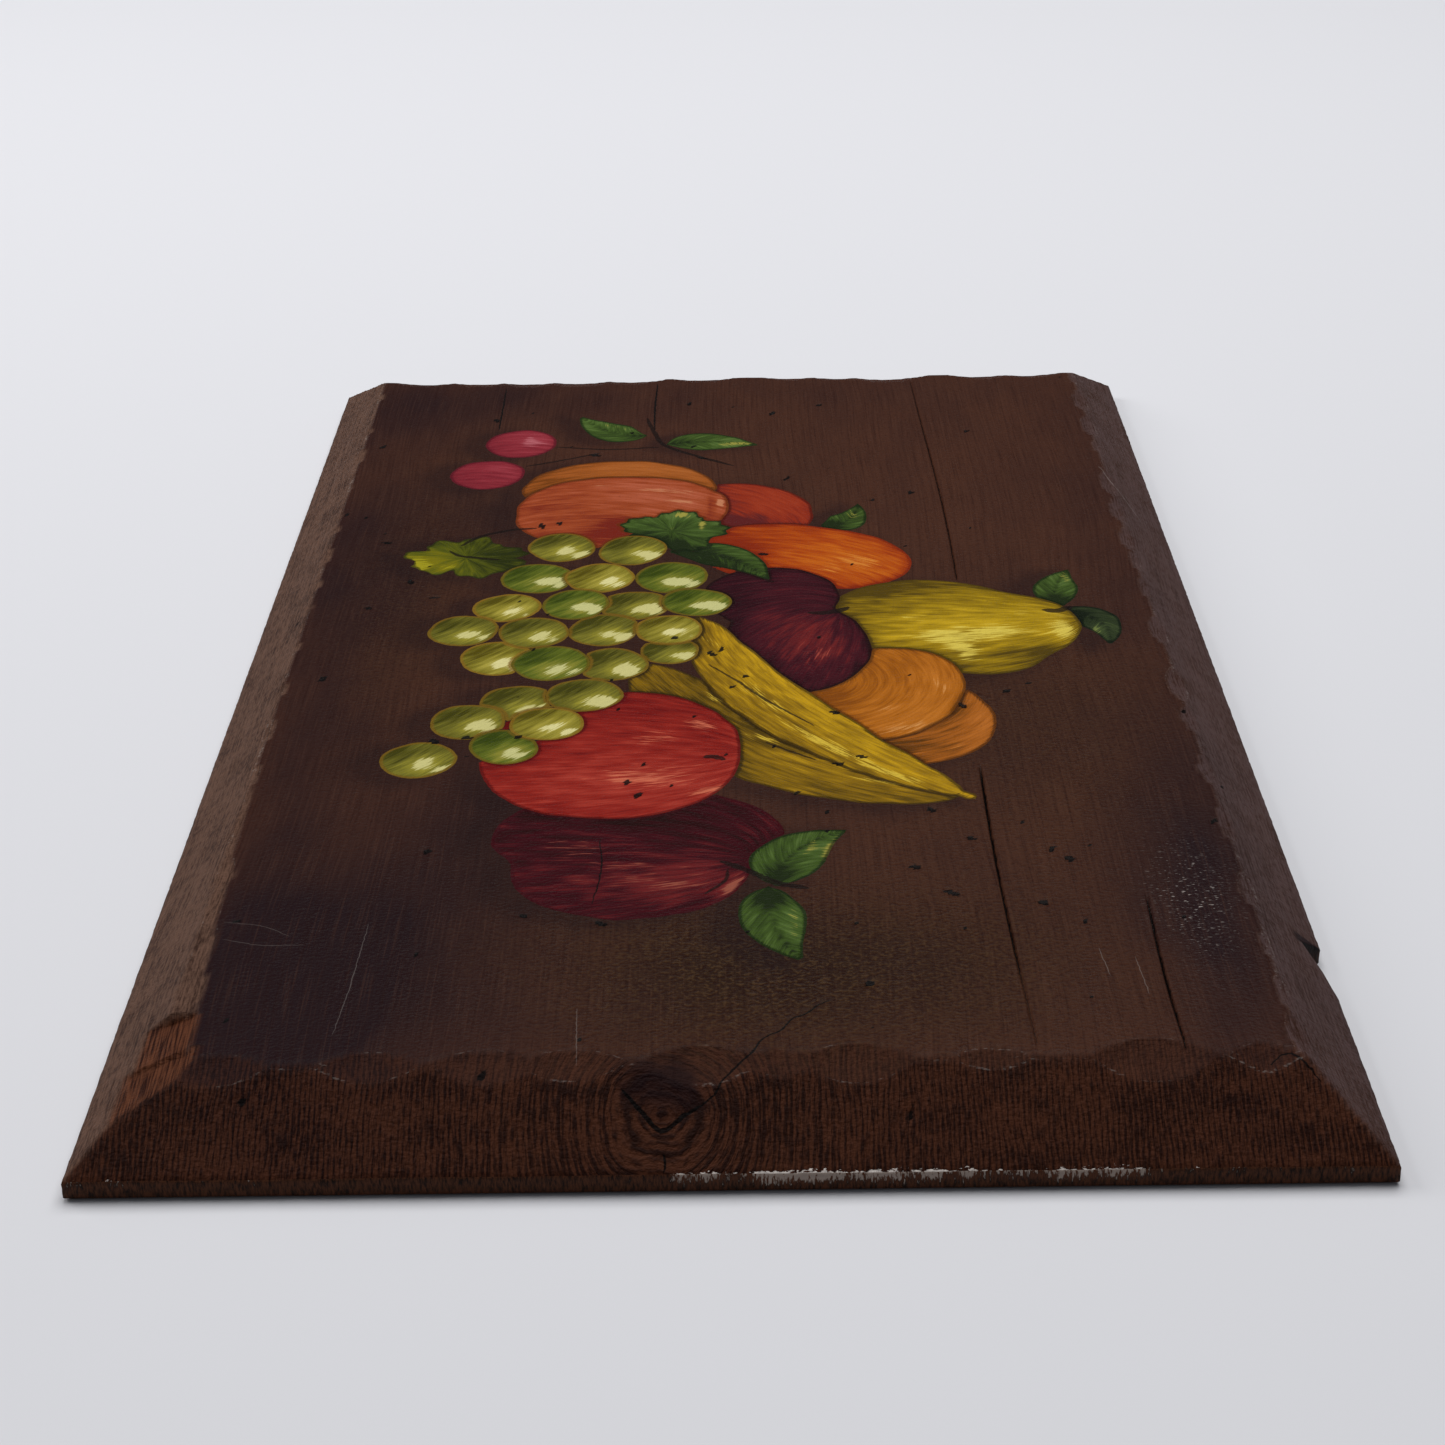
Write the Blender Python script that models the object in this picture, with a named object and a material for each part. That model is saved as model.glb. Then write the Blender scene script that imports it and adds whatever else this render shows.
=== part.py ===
"""A painted wood panel: one solid board with four bevels and a crest scalloped with a gouge.

The board lies on its back, with Z up, its grain along Y and its origin at the middle of its back.
It hangs with +X upwards, so the notch in the +X rim is at the top when it is on a wall.
"""

import math
import random
from dataclasses import dataclass

import bmesh
import bpy

# Driving sizes, in metres
WIDTH = 0.292
LENGTH = 0.490
THICKNESS = 0.019
RIM_HEIGHT = 0.0045

# The gouge cuts along the crest, where the bevels meet the face
GOUGE_RADIUS = 0.060
GOUGE_PITCH = 0.026
GOUGE_WANDER = 0.40
LEAST_DEPTH = 0.0002
STATION = 0.0035

# The facet of the left crest widens into the face over this length, up to the front corner
WIDE_FACET_LENGTH = 0.150
WIDE_FACET_RUN = 0.0065

# The place where the +X rim is broken out, to a point inside the board
NOTCH_FROM_FRONT = 0.087
NOTCH_DEPTH = 0.0055
NOTCH_LONG_SIDE = 0.018
NOTCH_SHORT_SIDE = 0.0025

# The splinters lost from the left crest near the front corner, split off along the grain in two steps
SPLINTER_FROM_FRONT = 0.029
SPLINTER_LENGTH = 0.017
SPLINTER_DEPTH = 0.0024
SPLINTER_END_DEPTH = 0.0033
SPLINTER_SLOPE = math.radians(22)
SPLINTER_REACH = 0.012

# Clearance by which a cutter passes the surface that it cuts
PASS = 0.002
SEED = 11


@dataclass(frozen=True)
class Bevel:
    """One bevelled side: the bevel's width in plan, and how deep the gouge went into its crest."""

    width: float
    gouge_depth: float


FRONT = Bevel(width=0.023, gouge_depth=0.0013)
RIGHT = Bevel(width=0.018, gouge_depth=0.0009)
BACK = Bevel(width=0.024, gouge_depth=0.0018)
LEFT = Bevel(width=0.018, gouge_depth=0.0007)


@dataclass(frozen=True)
class Check:
    """A drying crack in the face, along the grain, which wanders sideways in a slow wave."""

    x: float
    front_y: float
    back_y: float
    width: float
    depth: float
    wander: float
    waves: float


CHECKS = (
    Check(x=0.0692, front_y=-0.218, back_y=0.214, width=0.0009, depth=0.0030, wander=0.0019, waves=1.15),
    Check(x=0.1023, front_y=-0.221, back_y=-0.158, width=0.0007, depth=0.0022, wander=0.0004, waves=0.6),
)
CHECK_STATIONS = 17


@dataclass(frozen=True)
class Side:
    """One side of the board, from one outer corner to the next, anticlockwise seen from above."""

    bevel: Bevel
    start: tuple[float, float]
    end: tuple[float, float]
    crest_start: tuple[float, float]
    crest_end: tuple[float, float]

    def length(self):
        """The length of the crest along this side."""
        return math.dist(self.crest_start, self.crest_end)

    def inward(self):
        """The unit vector into the board, square to this side."""
        dx = (self.end[0] - self.start[0]) / math.dist(self.start, self.end)
        dy = (self.end[1] - self.start[1]) / math.dist(self.start, self.end)
        return (-dy, dx)

    def slope(self):
        """The bevel's angle down from the face."""
        return math.atan2(THICKNESS - RIM_HEIGHT, self.bevel.width)

    def extra_run(self, at):
        """How much further the facet reaches into the face here: only the left crest's front end is wide."""
        if self.bevel is not LEFT:
            return 0.0
        share = max(0.0, 1 - (self.length() - at) / WIDE_FACET_LENGTH)
        return WIDE_FACET_RUN * share**1.5


def clear_scene():
    """Removes the objects that the file opened with."""
    for obj in list(bpy.data.objects):
        bpy.data.objects.remove(obj, do_unlink=True)


def between(a, b, t):
    """The point at share t of the way from a to b."""
    return tuple(p + (q - p) * t for p, q in zip(a, b))


def board_sides():
    """The front, right, back and left sides, with the crest set in by each side's own bevel."""
    right, back = WIDTH / 2, LENGTH / 2
    left, front = -right, -back
    outer = [(left, front), (right, front), (right, back), (left, back)]
    inner = [
        (left + LEFT.width, front + FRONT.width),
        (right - RIGHT.width, front + FRONT.width),
        (right - RIGHT.width, back - BACK.width),
        (left + LEFT.width, back - BACK.width),
    ]
    bevels = (FRONT, RIGHT, BACK, LEFT)
    return [Side(bevels[i], outer[i], outer[(i + 1) % 4], inner[i], inner[(i + 1) % 4]) for i in range(4)]


def gouge_cuts(side, rng):
    """Places and depths of the gouge cuts along a side's crest, each wandering a little."""
    cuts = []
    at = GOUGE_PITCH * rng.uniform(0.3, 0.7)
    while at < side.length():
        depth = side.bevel.gouge_depth * rng.uniform(1 - GOUGE_WANDER, 1 + GOUGE_WANDER)
        cuts.append((at, depth))
        at += GOUGE_PITCH * rng.uniform(1 - GOUGE_WANDER, 1 + GOUGE_WANDER)
    return cuts


def crest_run(side, at, cuts):
    """How far the facet reaches from the crest here: that of the deepest round cut, small at a corner."""
    depth = max(cut - (at - place) ** 2 / (2 * GOUGE_RADIUS) for place, cut in cuts)
    run = max(LEAST_DEPTH, depth) / math.sin(side.slope() / 2)
    least = LEAST_DEPTH / math.sin(side.slope() / 2)
    return min(run, least + min(at, side.length() - at) / 2)


def side_rings(side, before, rng):
    """Four rows of points along one side: foot, rim, and the lower and upper edge of the gouged crest.

    The upper edge starts beyond the facet of the side before it, and takes that up over its own length.
    """
    cuts = gouge_cuts(side, rng)
    nx, ny = side.inward()
    px, py = before.inward()
    start = crest_run(side, 0, cuts) + before.extra_run(before.length())
    stations = max(2, round(side.length() / STATION))
    rows = ([], [], [], [])
    for i in range(stations):
        t = i / stations
        at = t * side.length()
        foot = between(side.start, side.end, t)
        crest = between(side.crest_start, side.crest_end, t)
        run = crest_run(side, at, cuts)
        rim = (*foot, RIM_HEIGHT)
        lower = between((*crest, THICKNESS), rim, run / math.dist((*crest, THICKNESS), rim))
        reach = run + side.extra_run(at)
        slide = start * (1 - t)
        upper = (crest[0] + nx * reach + px * slide, crest[1] + ny * reach + py * slide, THICKNESS)
        for row, point in zip(rows, ((*foot, 0.0), rim, lower, upper)):
            row.append(point)
    return rows


def blank_board():
    """The bevelled and gouged board as a closed mesh, before its breaks and checks are cut."""
    rng = random.Random(SEED)
    rings = ([], [], [], [])
    sides = board_sides()
    for before, side in zip(sides[-1:] + sides, sides):
        for ring, row in zip(rings, side_rings(side, before, rng)):
            ring.extend(row)
    bm = bmesh.new()
    loops = [[bm.verts.new(point) for point in ring] for ring in rings]
    count = len(loops[0])
    for lower, upper in zip(loops, loops[1:]):
        for i in range(count):
            j = (i + 1) % count
            bm.faces.new((lower[i], lower[j], upper[j], upper[i]))
    bm.faces.new(reversed(loops[0]))
    bm.faces.new(loops[-1])
    return add_object("board", bm)


def add_object(name, bm):
    """Puts a bmesh into the scene as a named object, with its normals pointing out."""
    bmesh.ops.recalc_face_normals(bm, faces=bm.faces)
    mesh = bpy.data.meshes.new(name)
    bm.to_mesh(mesh)
    bm.free()
    obj = bpy.data.objects.new(name, mesh)
    bpy.context.scene.collection.objects.link(obj)
    return obj


def prism(name, outline, low, high):
    """A closed prism: an outline of (x, y) points from height low to height high."""
    bm = bmesh.new()
    floor = [bm.verts.new((x, y, low)) for x, y in outline]
    face = bm.faces.new(floor)
    moved = bmesh.ops.extrude_face_region(bm, geom=[face])["geom"]
    bmesh.ops.translate(bm, vec=(0, 0, high - low), verts=[v for v in moved if isinstance(v, bmesh.types.BMVert)])
    return add_object(name, bm)


def notch_cutter():
    """The broken-out wedge of the right rim: a short end across the grain and a long ragged split."""
    edge = WIDTH / 2
    y = -LENGTH / 2 + NOTCH_FROM_FRONT
    inner = (edge - NOTCH_DEPTH, y - NOTCH_SHORT_SIDE)
    tail = (edge - NOTCH_DEPTH * 0.12, y - NOTCH_LONG_SIDE)
    knee = between(inner, tail, 0.62)
    outline = [
        (edge + PASS, y + NOTCH_SHORT_SIDE * 0.4),
        (edge - NOTCH_DEPTH * 0.35, y),
        inner,
        (knee[0] + NOTCH_DEPTH * 0.14, knee[1]),
        tail,
        (edge + PASS, tail[1] - NOTCH_DEPTH * 0.5),
    ]
    return prism("notch_cutter", outline, -PASS, THICKNESS)


def splinter_cutters():
    """Two slabs laid along the left crest, whose tilted floors are the wood left by the lost splinters.

    The second one is deeper, starts where the first ends and runs out through the front bevel.
    """
    crest_x = -WIDTH / 2 + LEFT.width
    front = -LENGTH / 2
    middle = front + SPLINTER_FROM_FRONT
    back = middle + SPLINTER_LENGTH
    reach = SPLINTER_REACH
    outlines = {
        "splinter_cutter": [(-reach, front), (reach, front), (reach, back - PASS), (-reach, back)],
        "splinter_end_cutter": [(-reach, front), (reach, front), (reach, middle + PASS), (-reach, middle)],
    }
    cutters = []
    for (name, outline), depth in zip(outlines.items(), (SPLINTER_DEPTH, SPLINTER_END_DEPTH)):
        cutter = prism(name, outline, -depth, SPLINTER_REACH)
        cutter.location = (crest_x, 0, THICKNESS)
        cutter.rotation_euler = (0, -SPLINTER_SLOPE, 0)
        cutters.append(cutter)
    return cutters


def check_cutter(index, check):
    """A blade along the grain, V-shaped across, that thins to nothing at both ends as it wanders."""
    bm = bmesh.new()
    rows = []
    for i in range(CHECK_STATIONS):
        t = i / (CHECK_STATIONS - 1)
        y = check.front_y + (check.back_y - check.front_y) * t
        x = check.x - check.wander * math.sin(2 * math.pi * check.waves * t)
        full = math.sin(math.pi * (0.06 + 0.88 * t)) ** 0.5
        half, depth = check.width / 2 * full, check.depth * full
        top = half * (depth + PASS) / depth
        rows.append([bm.verts.new(p) for p in (
            (x - top, y, THICKNESS + PASS),
            (x, y, THICKNESS - depth),
            (x + top, y, THICKNESS + PASS),
        )])
    for near, far in zip(rows, rows[1:]):
        for i in range(3):
            bm.faces.new((near[i], near[(i + 1) % 3], far[(i + 1) % 3], far[i]))
    bm.faces.new(rows[0])
    bm.faces.new(reversed(rows[-1]))
    return add_object(f"check_cutter_{index + 1}", bm)


def cut(obj, cutter):
    """Cuts a hidden cutter's shape out of an object."""
    modifier = obj.modifiers.new(cutter.name, "BOOLEAN")
    modifier.operation = "DIFFERENCE"
    modifier.object = cutter
    cutter.hide_render = True
    cutter.display_type = "WIRE"


def stained_wood():
    """Pine under a dark brown stain and a satin varnish."""
    material = bpy.data.materials.new("stained_pine")
    material.use_nodes = True
    shader = material.node_tree.nodes["Principled BSDF"]
    shader.inputs["Base Color"].default_value = (0.046, 0.019, 0.012, 1.0)
    shader.inputs["Roughness"].default_value = 0.42
    shader.inputs["Metallic"].default_value = 0.0
    material.diffuse_color = shader.inputs["Base Color"].default_value
    return material


def main():
    """Builds the board and cuts its breaks and checks."""
    clear_scene()
    board = blank_board()
    for cutter in (notch_cutter(), *splinter_cutters()):
        cut(board, cutter)
    for index, check in enumerate(CHECKS):
        cut(board, check_cutter(index, check))
    board.data.materials.append(stained_wood())


main()
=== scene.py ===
"""Dresses the painted wood panel: a split and gouged pine board, stained dark, with fruit in oil colours.

The board lies on its back with Z up, its grain along Y and its origin at the middle of its back. Lengths
are in millimetres, apart from those that go to Blender, which MM turns to metres. Places on the face are
in the board's plan, x to the right and y away from the camera.
"""

import logging
import math
import random
from dataclasses import dataclass, field
from enum import Enum
from typing import Any

import bpy
import numpy as np
from mathutils import Matrix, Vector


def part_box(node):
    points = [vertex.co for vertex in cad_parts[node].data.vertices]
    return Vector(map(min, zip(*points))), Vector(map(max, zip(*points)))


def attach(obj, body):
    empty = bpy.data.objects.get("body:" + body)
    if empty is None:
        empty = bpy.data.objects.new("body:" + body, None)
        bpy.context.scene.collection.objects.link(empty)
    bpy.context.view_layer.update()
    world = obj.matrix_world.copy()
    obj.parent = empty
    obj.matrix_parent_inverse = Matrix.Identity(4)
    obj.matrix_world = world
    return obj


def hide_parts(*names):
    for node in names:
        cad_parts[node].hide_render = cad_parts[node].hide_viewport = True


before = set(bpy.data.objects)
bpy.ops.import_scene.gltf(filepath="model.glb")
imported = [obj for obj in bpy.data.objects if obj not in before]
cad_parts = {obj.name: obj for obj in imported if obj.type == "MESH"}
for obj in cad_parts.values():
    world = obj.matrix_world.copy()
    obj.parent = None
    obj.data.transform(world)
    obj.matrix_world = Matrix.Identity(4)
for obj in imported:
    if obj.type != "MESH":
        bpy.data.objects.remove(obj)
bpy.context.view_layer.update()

Array = np.ndarray
Pair = tuple[float, float]
Triple = tuple[float, float, float]
Socket = bpy.types.NodeSocket
Tree = bpy.types.NodeTree
log = logging.getLogger("painted_panel")

MM = 0.001
PIXELS = 1445
FAR = -8.0  # the signed distance or half width given to places that a form or line doesn't reach
EASED: dict[str, Any] = {"interpolation_type": "SMOOTHSTEP"}
COLOURS: dict[str, Any] = {"data_type": "RGBA", "output": 2}


def linear(code: str) -> tuple[float, float, float, float]:
    """Turns an sRGB colour to linear light: c / 12.92 when dark, otherwise ((c + 0.055) / 1.055) ^ 2.4.

    Args:
        code: The colour as "#rrggbb".
    Returns:
        Red, green, blue and an alpha of 1.
    """
    shares = [int(code[i : i + 2], 16) / 255 for i in (1, 3, 5)]
    light = [c / 12.92 if c <= 0.04045 else ((c + 0.055) / 1.055) ** 2.4 for c in shares]
    return (*light, 1.0)


def ease(low: float, high: float, value: Array) -> Array:
    """A smooth step: with t the share of the way from low to high, held in 0 to 1, it is 3t^2 - 2t^3.

    Args:
        low: Where the step starts.
        high: Where it ends; below low for a falling step.
        value: The values to step.
    Returns:
        Shares from 0 to 1.
    """
    t = np.clip((value - low) / (high - low), 0, 1)
    return t * t * (3 - 2 * t)


def smooth_noise(x: Array, y: Array, seed: int) -> Array:
    """Smooth noise: random numbers on a lattice of whole steps, with eased straight lines between them.

    Args:
        x: Places across, in steps of the lattice.
        y: Places along, in steps of the lattice.
        seed: Which lattice.
    Returns:
        Values from -1 to 1.
    """
    table = np.random.default_rng(seed).uniform(-1, 1, (256, 256))
    column, row = np.floor(x).astype(int), np.floor(y).astype(int)
    across, along = ease(0, 1, x - column), ease(0, 1, y - row)
    near = table[column % 256, row % 256] * (1 - across) + table[(column + 1) % 256, row % 256] * across
    far = table[column % 256, (row + 1) % 256] * (1 - across)
    far = far + table[(column + 1) % 256, (row + 1) % 256] * across
    return near * (1 - along) + far * along


def own_axes(dx: Array, dy: Array, rx: float, ry: float, turn: float) -> tuple[Array, Array]:
    """Places in an oval's own axes, as shares of its radii.

    Args:
        dx: Places across, from the oval's middle.
        dy: Places along, from there.
        rx: The radius along its first axis.
        ry: The radius along its second axis.
        turn: How far the axes are turned, in degrees.
    Returns:
        Places along the first axis and along the second.
    """
    c, s = math.cos(math.radians(turn)), math.sin(math.radians(turn))
    return (dx * c + dy * s) / rx, (dy * c - dx * s) / ry


def add(
    tree: Tree,
    kind: str,
    *inputs: Any,
    output: int | str = 0,
    stops: tuple[tuple[float, str], ...] = (),
    **settings: Any,
) -> Socket:
    """Adds one node with its settings and links.

    Args:
        tree: The node tree to add to.
        kind: The node's type, without its leading "ShaderNode".
        inputs: What goes into the node's inputs in their order: a socket that is linked, a plain value or
            a hex colour. A dict among them gives inputs by number or name.
        output: The output to hand back, by number or name.
        stops: Places and hex colours, for a colour ramp.
        settings: The node's own properties.
    Returns:
        The asked output, or the node's first input where it has no output.
    """
    node = tree.nodes.new("ShaderNode" + kind)
    for name, value in settings.items():
        setattr(node, name, value)
    placed = {i: value for i, value in enumerate(inputs) if not isinstance(value, dict)}
    for named in inputs:
        placed |= named if isinstance(named, dict) else {}
    for key, value in placed.items():
        if isinstance(value, bpy.types.NodeSocket):
            tree.links.new(value, node.inputs[key])
        else:
            node.inputs[key].default_value = linear(value) if isinstance(value, str) else value
    if stops:
        while len(node.color_ramp.elements) < len(stops):
            node.color_ramp.elements.new(1.0)
        for element, (place, code) in zip(node.color_ramp.elements, stops):
            element.position = place
            element.color = linear(code)
    return node.outputs[output] if len(node.outputs) else node.inputs[0]


def put(name: str, data: Any) -> bpy.types.Object:
    """Adds an object to the scene.

    Args:
        name: The object's name.
        data: Its mesh, light or camera.
    Returns:
        The object.
    """
    thing = bpy.data.objects.new(name, data)
    bpy.context.scene.collection.objects.link(thing)
    return thing


def axes_matrix(side: Array, up: Array, back: Array, place: Triple) -> Matrix:
    """A matrix that turns X to side, Y to up and Z to back, and moves to a place.

    Args:
        side: Where X goes.
        up: Where Y goes.
        back: Where Z goes.
        place: The place.
    Returns:
        The matrix.
    """
    columns = np.eye(4)
    columns[:3] = np.stack([side, up, back, place], axis=-1)
    return Matrix(columns.tolist())


def blank_material(name: str) -> tuple[bpy.types.Material, Tree]:
    """Makes a material without nodes, and hands back its node tree with it.

    Args:
        name: The material's name.
    Returns:
        The material and its tree.
    """
    material = bpy.data.materials.new(name)
    material.use_nodes = True
    material.node_tree.nodes.clear()
    return material, material.node_tree


# The bare board


@dataclass(frozen=True)
class Crest:
    """One bevelled side and the round gouge cuts in its crest, where it meets the face.

    The bevel rises in a straight line from the rim to the face, and facets cut off its top edge. A cut is
    a place along the crest and a depth, which lessens with the distance d from it by d^2 / 2R, for a gouge
    of radius R.
    """

    width: float
    rise: float
    length: float
    cuts: tuple[Pair, ...]
    widening: float = 0.0

    gouge_radius: float = 60.0
    least_depth: float = 0.2
    widening_length: float = 150.0
    hollow: float = 0.32
    hollow_run: float = 5.0

    @property
    def slope(self) -> float:
        """The bevel's angle down from the face."""
        return math.atan2(self.rise, self.width)

    def run(self, at: Array) -> Array:
        """How far the facet reaches down the bevel: the deepest cut there over the sine of half the slope.

        Args:
            at: Distances along the crest.
        Returns:
            Reaches in millimetres, small at both ends of the crest.
        """
        depth = np.full_like(at, self.least_depth)
        for place, cut in self.cuts:
            depth = np.maximum(depth, cut - (at - place) ** 2 / (2 * self.gouge_radius))
        least = self.least_depth / math.sin(self.slope / 2)
        ends = np.clip(np.minimum(at, self.length - at), 0, None)
        return np.minimum(depth / math.sin(self.slope / 2), least + ends / 2)

    def reach(self, at: Array) -> Array:
        """How far the facet reaches into the face: its run, and more where the crest is broad.

        Args:
            at: Distances along the crest.
        Returns:
            Reaches in millimetres.
        """
        share = np.clip(1 - (self.length - at) / self.widening_length, 0, 1)
        return self.run(at) + self.widening * share**1.5

    def heights(self, inward: Array, at: Array, top: float) -> tuple[Array, Array]:
        """Heights of the bevel and of its facet, which is a straight chord with a shallow hollow in it.

        Args:
            inward: Distances in from the outer side.
            at: Distances along the crest.
            top: The height of the face.
        Returns:
            The bevel's heights and the facet's.
        """
        run, reach = self.run(at), self.reach(at)
        low, high = self.width - run * math.cos(self.slope), self.width + reach
        fall = run * math.sin(self.slope) / (high - low)
        share = np.clip((inward - low) / (high - low), 0, 1)
        hollow = self.hollow * 4 * share * (1 - share) * np.minimum(1, run / self.hollow_run)
        return top - (self.width - inward) * math.tan(self.slope), top - (high - inward) * fall - hollow


@dataclass(frozen=True)
class DryingCheck:
    """A crack in the face along the grain, which wanders sideways in a slow wave.

    Paint and varnish bridge it in places, so its depth has a share of the full one at each y in depths.
    """

    x: float
    front: float
    back: float
    width: float
    depth: float
    wander: float
    waves: float
    depths: tuple[Pair, ...] = ((0.0, 1.0),)
    blunt: float = 0.06

    def share(self, y: Array) -> Array:
        """How far along the check each y is, from 0 at its front end to 1."""
        return np.clip((y - self.front) / (self.back - self.front), 0, 1)

    def path(self, y: Array) -> Array:
        """The check's x at each y: its middle less a sine wave."""
        return self.x - self.wander * np.sin(2 * np.pi * self.waves * self.share(y))

    def fullness(self, y: Array) -> Array:
        """Args:
            y: Places along.
        Returns:
            Shares from 0 to 1.
        """
        inside = (y > self.front) & (y < self.back)
        places, shares = zip(*self.depths)
        turn = np.pi * (self.blunt + (1 - 2 * self.blunt) * self.share(y))
        return np.sqrt(np.sin(turn)) * inside * np.interp(y, places, shares)

    def groove(self, x: Array, y: Array) -> Array:
        """Depth of the V-shaped groove: full at its path, and nothing at half its width to either side.

        Args:
            x: Places across.
            y: Places along.
        Returns:
            Depths in millimetres.
        """
        across = np.abs(x - self.path(y)) / (self.width / 2)
        return self.depth * self.fullness(y) * np.clip(1 - across, 0, 1)


@dataclass(frozen=True)
class Dent:
    """One knock in the wood: a small long pit, turned from the grain by an angle in radians."""

    x: float
    y: float
    length: float
    width: float
    depth: float
    turn: float

    def radius(self, x: Array, y: Array) -> Array:
        """How far each place is from the dent's middle, as a share of its half length and half width."""
        turn = -math.degrees(self.turn)
        return np.hypot(*own_axes(x - self.x, y - self.y, self.width / 2, self.length / 2, turn))


@dataclass(frozen=True)
class ThinLine:
    """A line narrower than the mesh is fine: a crack, a scratch, a stem or a vein.

    Its spine is a smooth curve through a chain of points. What the mesh keeps is the signed offset from
    the spine, which runs straight through zero, and the half width that the material sets against it.
    """

    points: tuple[Pair, ...]
    half_width: float
    fade: float = 0.5

    reach: float = 6.0
    steps: int = 12
    tip: float = 0.25
    core: float = 1.9
    end_fall: float = 2.5
    side_fall: float = 3.0

    def spine(self) -> Array:
        """Points along the curve, whose stretch from b to c is a cubic of a, b, c and d.

        It leaves b in the direction from a to c, and comes to c in the direction from b to d.

        Returns:
            An array of places.
        """
        p = np.array(self.points, float)
        p = np.vstack([2 * p[0] - p[1], p, 2 * p[-1] - p[-2]])
        t = np.linspace(0, 1, self.steps, endpoint=False)[:, None]
        parts = []
        for a, b, c, d in zip(p, p[1:], p[2:], p[3:]):
            bend = 2 * b + (c - a) * t + (2 * a - 5 * b + 4 * c - d) * t**2 + (3 * b - a - 3 * c + d) * t**3
            parts.append(bend / 2)
        return np.vstack([*parts, p[-2]])

    def place(self, x: Array, y: Array) -> tuple[Array, Array, Array]:
        """The offset from the spine, the share of the way along it and the distance from its nearest point.

        Args:
            x: Places across.
            y: Places along.
        Returns:
            Signed offsets, shares from 0 to 1, and distances.
        """
        spine = self.spine()
        steps = np.diff(spine, axis=0)
        lengths = np.hypot(*steps.T)
        starts = np.concatenate([[0], np.cumsum(lengths)])
        nearest = np.full(x.shape, 1e9)
        offset, share = np.zeros_like(x), np.zeros_like(x)
        for start, step, length, so_far in zip(spine, steps, lengths, starts):
            dx, dy = x - start[0], y - start[1]
            along = np.clip((dx * step[0] + dy * step[1]) / length, 0, length)
            distance = np.hypot(dx - along * step[0] / length, dy - along * step[1] / length)
            closer = distance < nearest
            nearest = np.where(closer, distance, nearest)
            offset = np.where(closer, (dx * step[1] - dy * step[0]) / length, offset)
            share = np.where(closer, (so_far + along) / starts[-1], share)
        return offset, share, nearest

    def field(self, x: Array, y: Array) -> tuple[Array, Array]:
        """What the mesh keeps of the line: the signed offset and the half width.

        Args:
            x: Places across.
            y: Places along.
        Returns:
            Offsets, and half widths that taper to the ends and fall away far from the spine.
        """
        offset, share, nearest = self.place(x, y)
        taper = np.clip(np.minimum(share, 1 - share) * 2 / self.fade, 0, 1) ** 0.5
        width = self.half_width * (self.tip + (1 - self.tip) * taper)
        beyond = np.clip(nearest - np.abs(offset), 0, None)
        aside = np.clip(nearest - self.core, 0, None)
        return offset, width - self.end_fall * beyond - self.side_fall * aside


@dataclass
class Surface:
    """The top of the board on its grid: places, heights, and the fields that the materials read."""

    x: Array
    y: Array
    z: Array = field(default_factory=lambda: np.zeros(0))
    fields: dict[str, Array] = field(default_factory=dict)

    def keep(self, name: str, *parts: Array) -> None:
        """Keeps up to three fields under one name, as the parts of a vector, with zeros for the rest."""
        spare = [np.zeros_like(self.x)] * (3 - len(parts))
        self.fields[name] = np.stack([*parts, *spare], axis=-1)

    def lines(self, name: str, lines: tuple[ThinLine, ...]) -> None:
        """Keeps the nearest of several thin lines at each place.

        Args:
            name: The field's name.
            lines: The lines, which run four millimetres or more apart, or meet at their ends.
        """
        offset, width = np.full_like(self.x, -FAR), np.full_like(self.x, FAR)
        for line in lines:
            points = np.array(line.points)
            (left, front), (right, back) = points.min(0) - line.reach, points.max(0) + line.reach
            near = (self.x > left) & (self.x < right) & (self.y > front) & (self.y < back)
            aside, half = line.field(self.x[near], self.y[near])
            better = half > width[near]
            spots = tuple(index[better] for index in np.nonzero(near))
            offset[spots], width[spots] = aside[better], half[better]
        self.keep(name, offset, width)

    def draw(self, name: str, offset: Array, width: Array) -> None:
        """Draws one more line into a field of lines, where it is the wider one.

        Args:
            name: The field's name.
            offset: Signed offsets from the line.
            width: Its half width at each place.
        """
        kept = self.fields[name]
        better = width > kept[..., 1]
        kept[..., 0] = np.where(better, offset, kept[..., 0])
        kept[..., 1] = np.where(better, width, kept[..., 1])


def stations(*stretches: Triple) -> Array:
    """Places along a line in even steps, finer in some stretches.

    Args:
        stretches: Where each stretch starts and ends, and about how long its steps are.
    Returns:
        Places from the first start to the last end.
    """
    parts = [np.linspace(a, b, max(1, round((b - a) / step)), endpoint=False) for a, b, step in stretches]
    return np.concatenate([*parts, [stretches[-1][1]]])


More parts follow.
